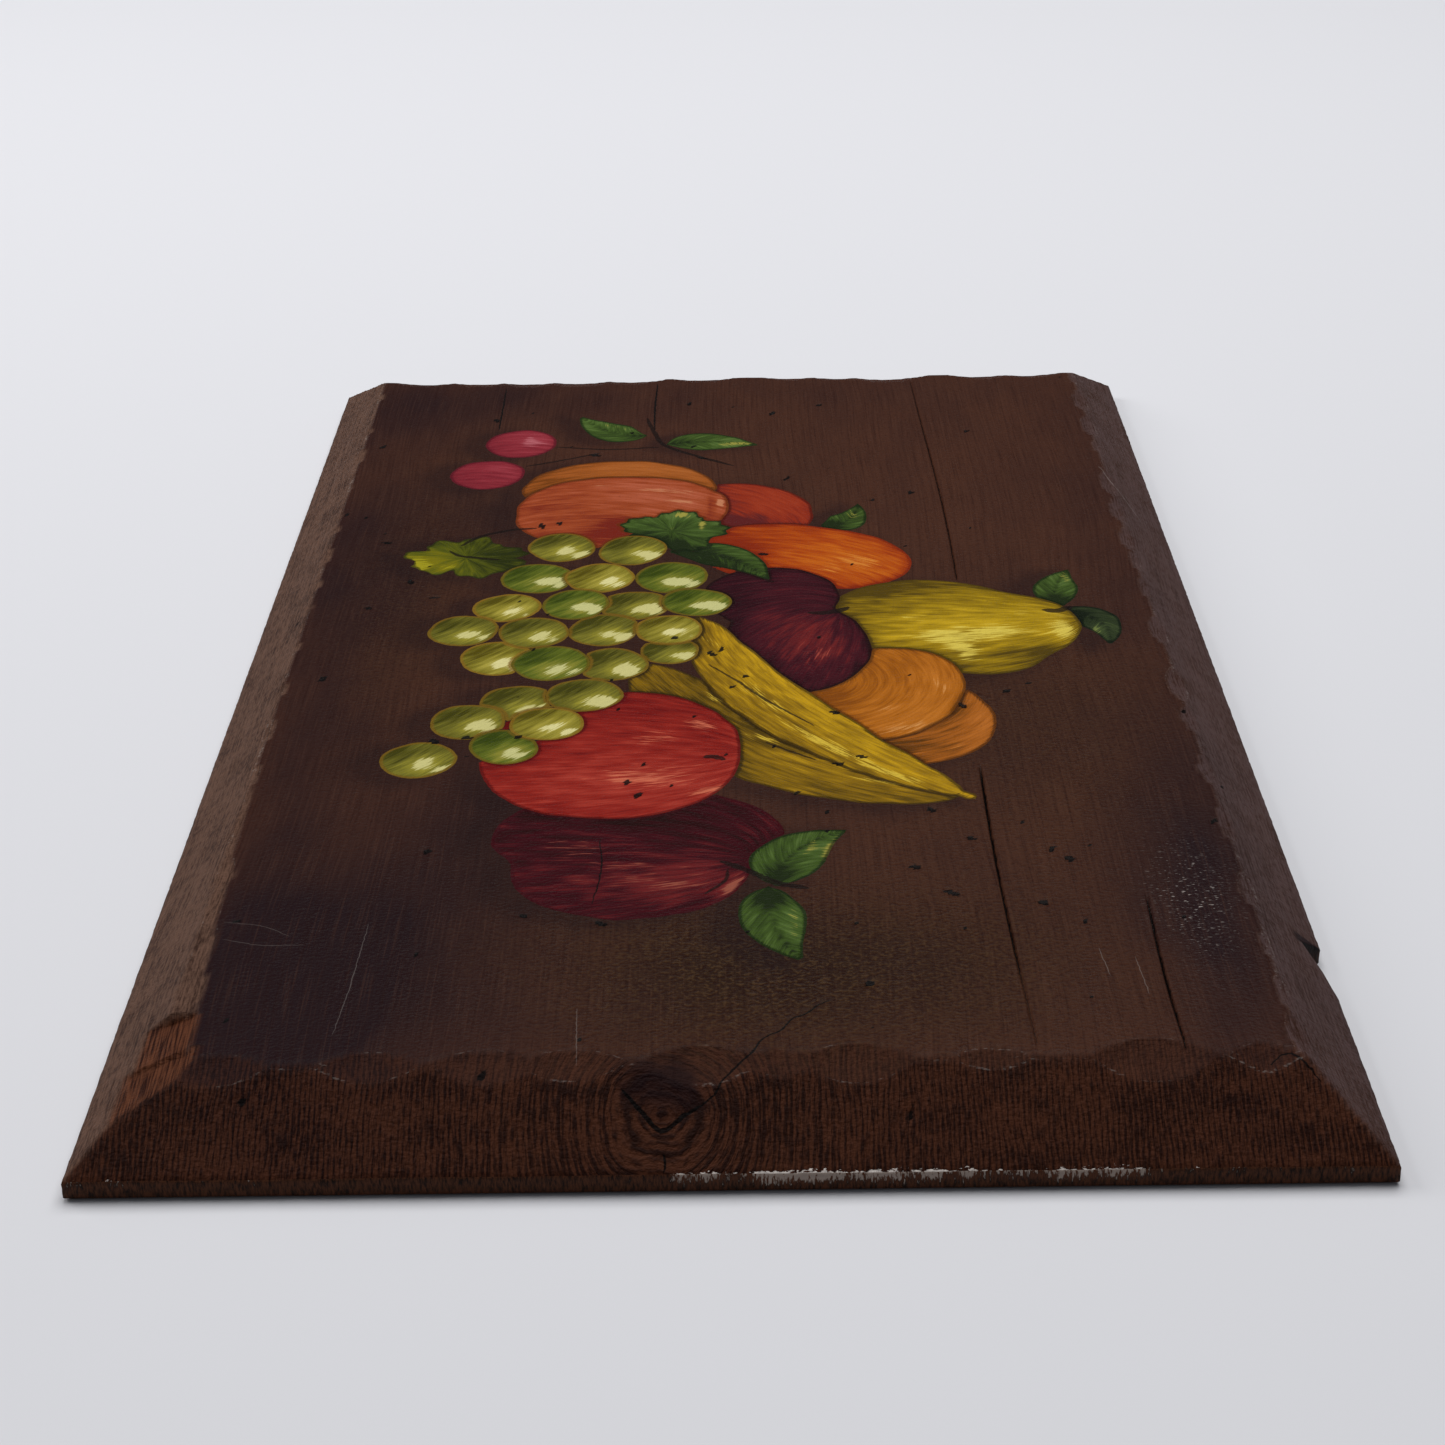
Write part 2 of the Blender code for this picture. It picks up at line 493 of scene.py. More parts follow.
@dataclass(frozen=True)
class Board:
    """The plank: its bevels, gouged crest, lost splinters, broken rim, checks, cracked knot and dents.

    Its top is a grid whose columns follow the drying checks and the broken rim, and whose rows are close
    where the splinters and the notch end. The height at each place is the lowest of the face, the four
    bevels and their facets, less the relief. A low wall and a flat back close it.
    """

    width: float
    length: float
    top: float

    rim: float = 4.5
    step: float = 1.32
    seed: int = 11
    gouge_pitch: float = 26.0
    gouge_wander: float = 0.40
    front: Pair = (23.0, 1.3)
    right: Pair = (18.0, 0.8)
    back: Pair = (24.0, 1.8)
    left: Pair = (18.0, 0.45)
    left_widening: float = 6.5

    notch_from_front: float = 87.0
    notch_depth: float = 5.5
    notch_long: float = 18.0
    notch_short: float = 2.5
    notch_blend: float = 12.0
    notch_tail: float = 2.7
    notch_knee: float = 0.62

    splinter_from_front: float = 29.0
    splinter_length: float = 17.0
    splinter_depths: Pair = (2.4, 3.3)
    splinter_slope: float = math.radians(22)
    splinter_reach: float = 12.0
    splinter_ragged: float = 0.8

    checks: tuple[DryingCheck, ...] = (
        DryingCheck(
            x=69.2, front=-218, back=214, width=0.85, depth=3.0, wander=1.9, waves=1.15,
            depths=((-196, 0.35), (-176, 1.0), (-92, 1.0), (-86, 0.0), (34, 0.0), (38, 0.5), (214, 0.65)),
        ),
        DryingCheck(x=102.3, front=-219, back=-156, width=0.85, depth=2.4, wander=0.5, waves=0.6),
    )
    check_columns: tuple[float, ...] = (-1.6, -0.75, -0.42, -0.16, 0.16, 0.42, 0.75, 1.6)
    check_pull: float = 11.0
    check_reach: float = 5.0
    check_share: float = 0.4
    crack_depth: float = 0.3
    fine_step: float = 0.45
    dent_pull: float = 0.62
    dent_reach: float = 4.2

    knot: Pair = (-15.0, -233.0)
    arris: float = 0.35
    # How wide the painted highlight on the facets' edges is, and how far from a border it reaches
    edge_glint: float = 0.42
    edge_glint_reach: float = 1.2
    back_edge: float = 0.4
    wall_relief: float = 0.1
    wall_grain: float = 1.1
    wall_radius: float = 230.0

    def sides(self) -> dict[str, Crest]:
        """The four crests, with the gouge cuts drawn in turn from one seeded row of random numbers.

        Returns:
            Crests by name, anticlockwise from the front.
        """
        rng = random.Random(self.seed)
        across = self.width - self.left[0] - self.right[0]
        along = self.length - self.front[0] - self.back[0]
        crests = {}
        for name, length in (("front", across), ("right", along), ("back", across), ("left", along)):
            width, gouge = getattr(self, name)
            cuts, at = [], self.gouge_pitch * rng.uniform(0.3, 0.7)
            while at < length:
                depth = gouge * rng.uniform(1 - self.gouge_wander, 1 + self.gouge_wander)
                cuts.append((at, depth))
                at += self.gouge_pitch * rng.uniform(1 - self.gouge_wander, 1 + self.gouge_wander)
            widening = self.left_widening if name == "left" else 0.0
            crests[name] = Crest(width, self.top - self.rim, length, tuple(cuts), widening)
        return crests

    def notch(self, y: Array) -> Array:
        """How far the right side is broken in at each y: a short end and a long split with a knee.

        Args:
            y: Places along the side.
        Returns:
            Depths in millimetres.
        """
        end = -self.length / 2 + self.notch_from_front
        knee = self.notch_knee * self.notch_long + (1 - self.notch_knee) * self.notch_short
        places = [end - self.notch_long - self.notch_tail, end - self.notch_long, end - knee]
        places += [end - self.notch_short, end, end + 1]
        depths = np.array([0, 0.12, 0.32, 1, 0.35, 0]) * self.notch_depth
        return np.interp(y, places, depths)

    def grid(self, dents: tuple[Dent, ...]) -> tuple[Array, Array]:
        """Places of the top's vertices: straight rows and columns, bent to what they have to show.

        Columns shift with the checks by a bell curve, and with the broken rim by an eased share. Around
        each dent the vertices draw in: within a radius R, a place at a share p of R goes to
        p (1 - k (1 - p^2)^2) of it.

        Args:
            dents: The dents to draw in to.
        Returns:
            Two arrays, with a row for each station along the board.
        """
        half, end = self.width / 2 - self.arris, self.length / 2 - self.arris
        splinter = -self.length / 2 + self.splinter_from_front
        broken = -self.length / 2 + self.notch_from_front
        fine = self.fine_step
        rows = stations(
            (-end, splinter - 1, self.step),
            (splinter - 1, splinter + 3, fine),
            (splinter + 3, splinter + 14, self.step),
            (splinter + 14, splinter + 18, fine),
            (splinter + 18, broken - 20, self.step),
            (broken - 20, broken - 5, 1.0),
            (broken - 5, broken + 2, fine),
            (broken + 2, end, self.step),
        )
        columns = stations((-half, half, self.step))
        for check in self.checks:
            away = np.abs(columns - check.x) > max(self.check_columns) + self.step / 2
            columns = np.sort(np.concatenate([columns[away], check.x + np.array(self.check_columns)]))
        x, y = np.meshgrid(columns, rows)
        for check in self.checks:
            x = x + (check.path(y) - check.x) * np.exp(-(((x - check.x) / self.check_pull) ** 2))
        x = x - self.notch(y) * ease(half - self.notch_blend, half, x)
        for dent in dents:
            reach = min(self.dent_reach, half - abs(dent.x), end - abs(dent.y))
            span = np.hypot(x - dent.x, y - dent.y) / reach
            draw = self.dent_pull * np.clip(1 - span**2, 0, 1) ** 2
            x, y = x + (dent.x - x) * draw, y + (dent.y - y) * draw
        return x, y

    def shape(self, dents: tuple[Dent, ...], cracks: tuple[ThinLine, ...]) -> Surface:
        """The top's heights and the fields that come with its shape.

        Args:
            dents: The knocks in the wood.
            cracks: The cracks in the knot and the splits beside it.
        Returns:
            The surface, with the fields faces, bevels, marks and cracks.
        """
        x, y = self.grid(dents)
        top = Surface(x, y)
        crests = self.sides()
        half, end = self.width / 2, self.length / 2
        places = {
            "front": (y + end, x + half - self.left[0]),
            "right": (half - x, y + end - self.front[0]),
            "back": (end - y, half - self.right[0] - x),
            "left": (x + half, end - self.back[0] - y),
        }
        heights = {name: crest.heights(*places[name], self.top) for name, crest in crests.items()}
        low_bevel = np.min([bevel for bevel, _ in heights.values()], axis=0)
        low_facet = np.min([facet for _, facet in heights.values()], axis=0)
        z = np.minimum(np.minimum(low_bevel, low_facet), self.top)
        flat = ease(0.12, 0.0, self.top - z)
        above = {name: np.minimum(*pair) - z for name, pair in heights.items()}
        slopes = {name: ease(0.5, -0.2, gap) * (1 - flat) for name, gap in above.items()}
        smoother = 1 - 0.45 * ease(0.0, 0.2, low_bevel - z)
        end_grain = np.maximum(slopes["front"], slopes["back"]) * smoother

        z, raw = self.split_off(x, y, z)
        z = z - self.relief(x, y, flat)
        pits = np.zeros_like(x)
        for dent in dents:
            pit = np.clip(1 - dent.radius(x, y) ** 2, 0, 1)
            z = z - dent.depth * pit**1.5
            pits = np.maximum(pits, pit)
        grooves = np.sum([check.groove(x, y) for check in self.checks], axis=0)
        top.lines("cracks", cracks)
        cracked = top.fields["cracks"]
        opened = ease(-0.9, 0.3, cracked[..., 1] - np.abs(cracked[..., 0]))
        # Each check also gets a thin line, which the material paints near black as the shade inside it
        for check in self.checks:
            away = x - check.path(y)
            full = check.fullness(y)
            shown = (np.abs(away) < self.check_reach) & (full > 0)
            top.draw("cracks", away, np.where(shown, self.check_share * check.width * full, FAR))
        top.z = np.minimum(z - grooves - self.crack_depth * opened, self.top)
        top.keep("faces", flat, raw)
        top.keep("bevels", end_grain, slopes["left"], slopes["right"])
        # Painted highlight lines along the facets' edges go into the marks field
        offset, width = self.edge_glints(top, crests, places)
        top.keep("marks", pits * (1 - 0.6 * end_grain), offset, width)
        return top

    def edge_glints(
        self, top: Surface, crests: dict[str, Crest], places: dict[str, tuple[Array, Array]]
    ) -> tuple[Array, Array]:
        """Painted highlights on the facets' edges: lines along their upper and lower borders, in patches.

        Args:
            top: The surface.
            crests: The crests by name.
            places: For each crest, distances in from the outer side and along it.
        Returns:
            Signed offsets from the nearest border, and the highlight line's half width, below zero for none.
        """
        upper, lower = np.full_like(top.x, 1e3), np.full_like(top.x, 1e3)
        for name, crest in crests.items():
            inward, at = places[name]
            upper = np.minimum(upper, inward - crest.width - crest.reach(at))
            lower = np.minimum(lower, inward - crest.width + crest.run(at) * math.cos(crest.slope))
        patches = smooth_noise(top.x / 5, top.y / 5, 51) + 0.8 * smooth_noise(top.x / 17, top.y / 17, 52)
        near = np.abs(upper) < np.abs(lower)
        offset = np.where(near, upper, lower)
        width = self.edge_glint * ease(-0.1, 0.9, patches) * np.where(near, 0.5, 1) - 0.1
        width = width - np.clip(np.abs(offset) - self.edge_glint_reach, 0, None)
        return offset, width

    def split_off(self, x: Array, y: Array, z: Array) -> tuple[Array, Array]:
        """Lowers the surface to the two tilted floors that the lost splinters left, with ribbed wood.

        Each floor passes under the crest at its depth and rises to the right at the splinter slope.

        Args:
            x: Places across.
            y: Places along.
            z: Heights before the splinters went.
        Returns:
            The heights, and shares of raw wood.
        """
        crest = -self.width / 2 + self.left[0]
        front = -self.length / 2 + self.splinter_from_front
        ends = (front + self.splinter_length, front)
        raw = np.zeros_like(x)
        for end, depth, slant in zip(ends, self.splinter_depths, (-2.0, 2.0)):
            plane = self.top - depth / math.cos(self.splinter_slope)
            plane = plane + (x - crest) * math.tan(self.splinter_slope)
            along = (x - crest) / math.cos(self.splinter_slope)
            ragged = self.splinter_ragged * smooth_noise(x / 1.3, np.zeros_like(x), 5)
            last = end + slant * (along / self.splinter_reach + 1) / 2 + ragged
            near = (y < last) & (np.abs(along) < self.splinter_reach) & (plane < z)
            raw = np.maximum(raw, near * ease(-0.05, 0.25, z - plane))
            ribs = 0.16 * smooth_noise(x / 0.9, y / 14, 6) + 0.12 * smooth_noise(x / 2.1, y / 9, 7)
            z = np.where(near, plane + ribs - 0.25, z)
        return z, raw

    def relief(self, x: Array, y: Array, flat: Array) -> Array:
        """How far the hand-planed surface lies under its true planes: slow waves, deeper on the bevels.

        Args:
            x: Places across.
            y: Places along.
            flat: Shares of face.
        Returns:
            Depths in millimetres, never less than nothing.
        """
        slow = 1 + smooth_noise(x / 26, y / 55, 1)
        rough = 1 + smooth_noise(x / 4.5, y / 7, 2)
        fine = 1 + smooth_noise(x / 1.7, y / 6, 3)
        return 0.04 * slow + (1 - flat) * (0.10 * slow + 0.07 * rough + 0.04 * fine)

    def outline(self, top: Surface) -> tuple[Array, Array]:
        """The grid's rim as one closed loop, anticlockwise, and the way out of the board at each vertex.

        Args:
            top: The finished surface.
        Returns:
            The vertices' numbers and their outward directions.
        """
        rows, columns = top.x.shape
        number = np.arange(rows * columns).reshape(rows, columns)
        loop = np.concatenate([number[0, :-1], number[:-1, -1], number[-1, :0:-1], number[:0:-1, 0]])
        x, y = top.x.ravel()[loop], top.y.ravel()[loop]
        half, end = self.width / 2 - self.arris, self.length / 2 - self.arris
        right = (x > half - self.notch(y) - 0.01) * 1.0
        sideways = right - (x < -half + 0.01)
        lengthways = (y > end - 0.01) * 1.0 - (y < -end + 0.01)
        return loop, np.stack([sideways, lengthways], axis=-1)

    def build(self, top: Surface) -> bpy.types.Object:
        """Makes the closed mesh: the top, the wall of the rim in five rows, and the back.

        Args:
            top: The finished surface.
        Returns:
            The board's object, with its fields as attributes.
        """
        rows, columns = top.x.shape
        loop, outward = self.outline(top)
        number = np.arange(rows * columns).reshape(rows, columns)
        corners = [number[:-1, :-1], number[:-1, 1:], number[1:, 1:], number[1:, :-1]]
        quads = [np.stack(corners, -1).reshape(-1, 4)]
        points = [np.stack([top.x, top.y, top.z], -1).reshape(-1, 3)]
        edge = points[0][loop]
        angle = np.arctan2(edge[:, 1] / self.length, edge[:, 0] / self.width)
        along = angle * self.wall_radius / self.wall_grain
        levels = ((0.9, 1.0), (0.66, 1.0), (0.36, 1.0), (0.09, 1.0), (0.0, 1 - self.back_edge / self.arris))
        above = loop
        for i, (share, out) in enumerate(levels):
            noise = smooth_noise(along, np.full_like(along, 3.0 * i), 8)
            rough = self.wall_relief * (1 + noise) * (0 < share)
            ring = edge[:, :2] + outward * (out * self.arris - rough)[:, None]
            below = np.arange(len(loop)) + sum(len(p) for p in points)
            points.append(np.column_stack([ring, edge[:, 2] * share]))
            quads.append(np.stack([above, below, np.roll(below, -1), np.roll(above, -1)], -1))
            above = below
        faces = np.concatenate(quads).tolist() + [above[::-1].tolist()]
        places = np.concatenate(points) * MM
        mesh = bpy.data.meshes.new("painted_board")
        mesh.from_pydata(places.tolist(), [], faces)
        mesh.update()
        for name, values in top.fields.items():
            flat = values.reshape(-1, 3)
            wall = [flat[loop] * math.sqrt(share) for share, _ in levels]
            attribute = mesh.attributes.new(name, "FLOAT_VECTOR", "POINT")
            attribute.data.foreach_set("vector", np.concatenate([flat, *wall]).astype(np.float32).ravel())
        kinds = np.repeat([0, 1, 2], [len(quads[0]), len(faces) - 1 - len(quads[0]), 1])
        mesh.polygons.foreach_set("material_index", kinds.astype(np.int32))
        mesh.polygons.foreach_set("use_smooth", kinds < 2)
        return put("painted_board", mesh)


@dataclass(frozen=True)
class Knocks:
    """The dents that age the board: those that show most, listed one by one, and a scatter of small ones."""

    seed: int = 5
    scattered: int = 46
    clear: float = 6.0
    share_across: float = 0.46
    share_along: float = 0.47
    known: tuple[Pair, ...] = (
        (16, 182), (-83, 179), (-46, 144), (-34, 165), (-12, 151), (-9, 140), (20, 120), (48, 100),
        (61, 106), (-121, 155), (-110, 70), (-126, 94), (-110, 20), (-99, 39), (-90, 27), (-117, -28),
        (-72, -66), (-58, -66), (-81, -68), (-27, -93), (-24, -100), (18, -100), (53, -110), (62, -125),
        (47, -139), (55, -152), (77, -157), (79, -42), (82, -131), (86, -136), (-50, -160), (-31, -164),
        (30, -54), (1, -37), (-5, -15), (125, -118), (33, 190), (-14, 193), (84, 162), (-77, -128),
        (-108, -229), (-55, -224), (40, -233), (33, -192), (-61, 82), (-55, 84), (11, 57), (66, -51),
        (-2, -12), (5, -30), (30, -84), (36, -80), (-16, -4),
    )

    def dents(self, board: Board) -> tuple[Dent, ...]:
        """The dents, each of a chance size, the scattered ones clear of the sides and of the checks.

        Args:
            board: The board that they are in.
        Returns:
            Every dent.
        """
        rng = random.Random(self.seed)
        ranges = ((2.2, 4.2), (1.1, 1.8), (0.4, 0.8), (-1.5, 0.6))
        found = [Dent(x, y, *(rng.uniform(low, high) for low, high in ranges)) for x, y in self.known]
        while len(found) < len(self.known) + self.scattered:
            x = rng.uniform(-self.share_across, self.share_across) * board.width
            y = rng.uniform(-self.share_along, self.share_along) * board.length
            size, turn = rng.uniform(1.0, 2.0), rng.uniform(-0.6, 0.6)
            clear = all(abs(x - check.x) > self.clear for check in board.checks)
            if clear and all(math.hypot(x - d.x, y - d.y) > self.clear for d in found):
                found.append(Dent(x, y, size, size * 0.5, 0.3, turn))
        return tuple(found)


CRACKS = (
    ThinLine(((-24, -227.5), (-19.5, -232), (-15.6, -235.8), (-14, -235.8), (-10, -233), (-6, -231)), 0.5),
    ThinLine(
        (
            (-6, -231), (-3, -228.6), (-1.6, -226), (2, -222), (5.5, -218.6), (7.5, -214), (12, -210.5),
            (14.5, -206), (18.5, -203.5), (20.5, -200.5), (24, -198.5),
        ),
        0.24, fade=0.2,
    ),
    ThinLine(((-14.3, -240.5), (-14.0, -242.5), (-14.4, -244.5)), 0.3),
    ThinLine(((120, -224), (124, -221), (128, -224), (131, -228)), 0.24),
    ThinLine(((-82, 212), (-81.7, 190), (-81.5, 169)), 0.3),
    ThinLine(((-26, 215), (-26.4, 190), (-26, 167)), 0.34),
    ThinLine(((-33, -123), (-32, -138), (-33.5, -155)), 0.2),
)

SCRATCHES = (
    ThinLine(((-87.5, -163), (-88.5, -190), (-90, -211)), 0.1, fade=1.0),
    ThinLine(((-35, -201), (-34.4, -212), (-34, -222)), 0.1, fade=1.0),
    ThinLine(((126, 127), (131, 112), (137, 95)), 0.2),
    ThinLine(((-124, -161), (-114, -163), (-106, -168)), 0.06),
    ThinLine(((-122, -169), (-112, -172), (-101, -172)), 0.06),
    ThinLine(((88, -178), (89, -190)), 0.1),
    ThinLine(((96, -182), (97, -198)), 0.1),
)


# The painting


class Palette(Enum):
    """The oil colours of each thing: dark, middle, light and thick light paint, and the line round it."""

    CHERRY = ("#6b1824", "#842630", "#993943", "#b06067", "#520d1b")
    PEACH_BACK = ("#693503", "#97501a", "#a75e27", "#b7733c", "#512803")
    PEACH = ("#701e10", "#96411e", "#ad583c", "#bf7c57", "#662a06")
    SCARLET = ("#591b1a", "#892912", "#99361a", "#ad5131", "#4a0d03")
    ORANGE = ("#802303", "#a33f04", "#be5f0f", "#d08030", "#772003")
    PLUM = ("#27030d", "#410d18", "#701f1e", "#9a4236", "#180303")
    PEAR = ("#4e3c03", "#8f7206", "#c09c18", "#d8c252", "#443403")
    APRICOT_BACK = ("#573103", "#9a5513", "#b46823", "#c57e38", "#462303")
    APRICOT = ("#7d4103", "#a35c0d", "#bc7021", "#cf9150", "#5c3203")
    BANANA = ("#4a3703", "#886608", "#c09511", "#d3b43c", "#2d1f03")
    RED_APPLE = ("#630709", "#891e15", "#ac3c2e", "#c96a4e", "#530303")
    DARK_APPLE = ("#200303", "#39030e", "#6a1c1d", "#94503e", "#37040d")
    GRAPE_OLIVE = ("#3c3a03", "#6a651e", "#948b2d", "#cdc684", "#745613")
    GRAPE_GREEN = ("#323f03", "#5a6419", "#88842f", "#c8c586", "#685512")
    GRAPE_YELLOW = ("#4f4603", "#807622", "#a79a3d", "#dcd495", "#826019")
    LEAF_DARK = ("#0a1504", "#2a351b", "#47552c", "#717d40", "#040d04")
    LEAF_GREEN = ("#192509", "#3b501b", "#597035", "#9d9540", "#0d1b04")
    LEAF_YELLOW = ("#242a03", "#4e5209", "#766e07", "#9d9319", "#202303")
    TWIG = ("#060404", "#140906", "#2e160d", "#40291e", "#060404")

    @property
    def number(self) -> float:
        """The palette's place in the colour ramps."""
        return float(list(Palette).index(self))


class Brush(Enum):
    """How the brush moved over a fruit: round its core, out from its core, or straight across it."""

    ROUND = "round"
    RAYS = "rays"
    STRAIGHT = "straight"


@dataclass(frozen=True)
class Touch:
    """A soft patch of paint or stain: a bell curve over an oval, turned by degrees."""

    x: float
    y: float
    rx: float
    ry: float
    amount: float
    turn: float = 0.0

    def at(self, x: Array, y: Array) -> Array:
        """How much of the patch lies at each place: its amount times exp(-(u^2 + v^2)).

        Args:
            x: Places across.
            y: Places along.
        Returns:
            Amounts, with u and v the place in the oval's own axes as shares of its radii.
        """
        u, v = own_axes(x - self.x, y - self.y, self.rx, self.ry, self.turn)
        return self.amount * np.exp(-(u * u + v * v))


@dataclass(frozen=True)
class Strokes:
    """What the brush left of one form: its signed distance, the strokes' run, the tone and thick paint."""

    distance: Array
    along: Array
    across: Array
    tone: Array
    light: Array


@dataclass(frozen=True, kw_only=True)
class Form:
    """Anything painted with a body: its own tone, and the touches that model it."""

    base: float = 0.5
    tones: tuple[Touch, ...] = ()
    lights: tuple[Touch, ...] = ()
    wobble: float = 0.45
    wobble_length: float = 7.0

    def unsteady(self, x: Array, y: Array) -> Array:
        """How far the hand strayed from the outline at each place, in millimetres."""
        return self.wobble * smooth_noise(x / self.wobble_length, y / self.wobble_length, 41)

    def model(self, x: Array, y: Array) -> tuple[Array, Array]:
        """The tone, and the amount of thick light paint.

        Args:
            x: Places across.
            y: Places along.
        Returns:
            Tones, from 0 for the dark colour by 0.5 for the middle one to 1, and amounts from 0 to 1.
        """
        tone = self.base + sum((touch.at(x, y) for touch in self.tones), np.zeros_like(x))
        return tone, sum((touch.at(x, y) for touch in self.lights), np.zeros_like(x))


@dataclass(frozen=True)
class Lobe:
    """One rounded part of a fruit: a superellipse, with its turn in degrees."""

    x: float
    y: float
    rx: float
    ry: float
    turn: float = 0.0
    power: float = 2.0

    def distance(self, x: Array, y: Array) -> Array:
        """Signed distance to the outline, positive inside: one less the norm, over the norm's slope.

        The norm is (|u|^p + |v|^p)^(1/p), with u and v the place in the lobe's own axes as shares of its
        radii.

        Args:
            x: Places across.
            y: Places along.
        Returns:
            Distances in millimetres.
        """
        u, v = np.abs(own_axes(x - self.x, y - self.y, self.rx, self.ry, self.turn))
        norm = np.maximum((u**self.power + v**self.power) ** (1 / self.power), 1e-4)
        slope = np.hypot((u / norm) ** (self.power - 1) / self.rx, (v / norm) ** (self.power - 1) / self.ry)
        return (1 - norm) / slope


@dataclass(frozen=True)
class Fruit(Form):
    """A painted fruit: lobes melted into one outline, with strokes about its core."""

    palette: Palette
    lobes: tuple[Lobe, ...]
    core: Pair
    brush: Brush = Brush.ROUND
    facing: float = 90.0
    turned: float = 0.22
    edge: float = 3.5
    melt: float = 2.0

    def box(self) -> tuple[float, float, float, float]:
        """Left, right, front and back of the fruit."""
        x, y, reach = np.array([(lobe.x, lobe.y, max(lobe.rx, lobe.ry)) for lobe in self.lobes]).T
        return min(x - reach), max(x + reach), min(y - reach), max(y + reach)

    def paint(self, x: Array, y: Array) -> Strokes:
        """Works out the strokes; the tone falls at the outline, where the fruit turns away.

        The lobes melt together by a soft maximum, m log of the sum of exp(d / m). Strokes round the core
        run by arc length, and rays from it spread slowly.

        Args:
            x: Places across.
            y: Places along.
        Returns:
            The strokes.
        """
        soft = sum(np.exp(np.clip(lobe.distance(x, y) / self.melt, -30, 30)) for lobe in self.lobes)
        distance = self.melt * np.log(soft) + self.unsteady(x, y)
        dx, dy = x - self.core[0], y - self.core[1]
        turn = math.radians(self.facing)
        ahead = dx * math.cos(turn) + dy * math.sin(turn)
        aside = dy * math.cos(turn) - dx * math.sin(turn)
        radius, angle = np.hypot(dx, dy), np.arctan2(aside, ahead)
        spread = {
            Brush.ROUND: (angle * radius, radius),
            Brush.RAYS: (radius, angle * (8 + 0.45 * radius)),
            Brush.STRAIGHT: (ahead, aside + 0.02 * ahead**2),
        }
        along, across = spread[self.brush]
        tone, light = self.model(x, y)
        return Strokes(distance, along, across, tone - self.turned * ease(self.edge, 0, distance), light)


@dataclass(frozen=True)
class Blade(Form):
    """A painted thing that follows a bent spine, such as a leaf or a banana.

    The spine is a quadratic curve through a start, a pull and an end. The half width is a power of the
    half sine of the share along it, bent so that it is fullest where it should be, with small teeth.
    """

    palette: Palette
    spine: tuple[Pair, Pair, Pair]
    half_width: float
    fullest: float = 0.42
    fullness: float = 0.9
    teeth: float = 0.0
    tip: float = 0.0
    veined: bool = True
    lean: float = 0.0
    samples: int = 60
    tooth: float = 5.7
    vein_slant: float = 0.8

    def box(self) -> tuple[float, float, float, float]:
        """Left, right, front and back of the thing."""
        (x, y), room = zip(*self.spine), self.half_width
        return min(x) - room, max(x) + room, min(y) - room, max(y) + room

    def paint(self, x: Array, y: Array) -> Strokes:
        """Works out the strokes, which run along the spine, or slant from it like veins.

        The nearest point of the spine is the nearest of its samples, moved along its tangent.

        Args:
            x: Places across.
            y: Places along.
        Returns:
            The strokes.
        """
        a, b, c = (np.array(p, float) for p in self.spine)
        t = np.linspace(0, 1, self.samples)[:, None]
        points = a * (1 - t) ** 2 + 2 * b * t * (1 - t) + c * t**2
        tangents = 2 * (b - a) * (1 - t) + 2 * (c - b) * t
        speed = np.hypot(*tangents.T)
        tangents = tangents / speed[:, None]
        dx, dy = x[..., None] - points[:, 0], y[..., None] - points[:, 1]
        nearest = np.argmin(dx * dx + dy * dy, axis=-1)
        near_x, near_y = x - points[nearest, 0], y - points[nearest, 1]
        step = near_x * tangents[nearest, 0] + near_y * tangents[nearest, 1]
        offset = near_x * tangents[nearest, 1] - near_y * tangents[nearest, 0]
        share = np.clip(t[nearest, 0] + step / speed[nearest], 0, 1)
        profile = np.sin(np.pi * share ** (math.log(0.5) / math.log(self.fullest))) ** self.fullness
        width = self.half_width * profile + self.tip * ease(0.0, 0.06, share)
        length = float(np.mean(speed))
        teeth = np.sin(share * length * 2 * np.pi / self.tooth) * np.sin(np.pi * share)
        width = width * (1 + self.teeth * teeth)
        beyond = np.clip(np.abs(step) - 1.5 * speed[nearest] / self.samples, 0, None)
        ends = (share <= 0) | (share >= 1)
        distance = width - np.abs(offset) - np.where(ends, beyond, 0) + self.unsteady(x, y)
        tone, light = self.model(x, y)
        tone = tone + self.lean * offset / self.half_width
        if self.veined:
            tone = tone - 0.28 * ease(0.9, 0.2, np.abs(offset))
            along = share * length + self.vein_slant * np.abs(offset)
            return Strokes(distance, along, np.abs(offset) - self.vein_slant * share * length, tone, light)
        return Strokes(distance, share * length, offset, tone, light)


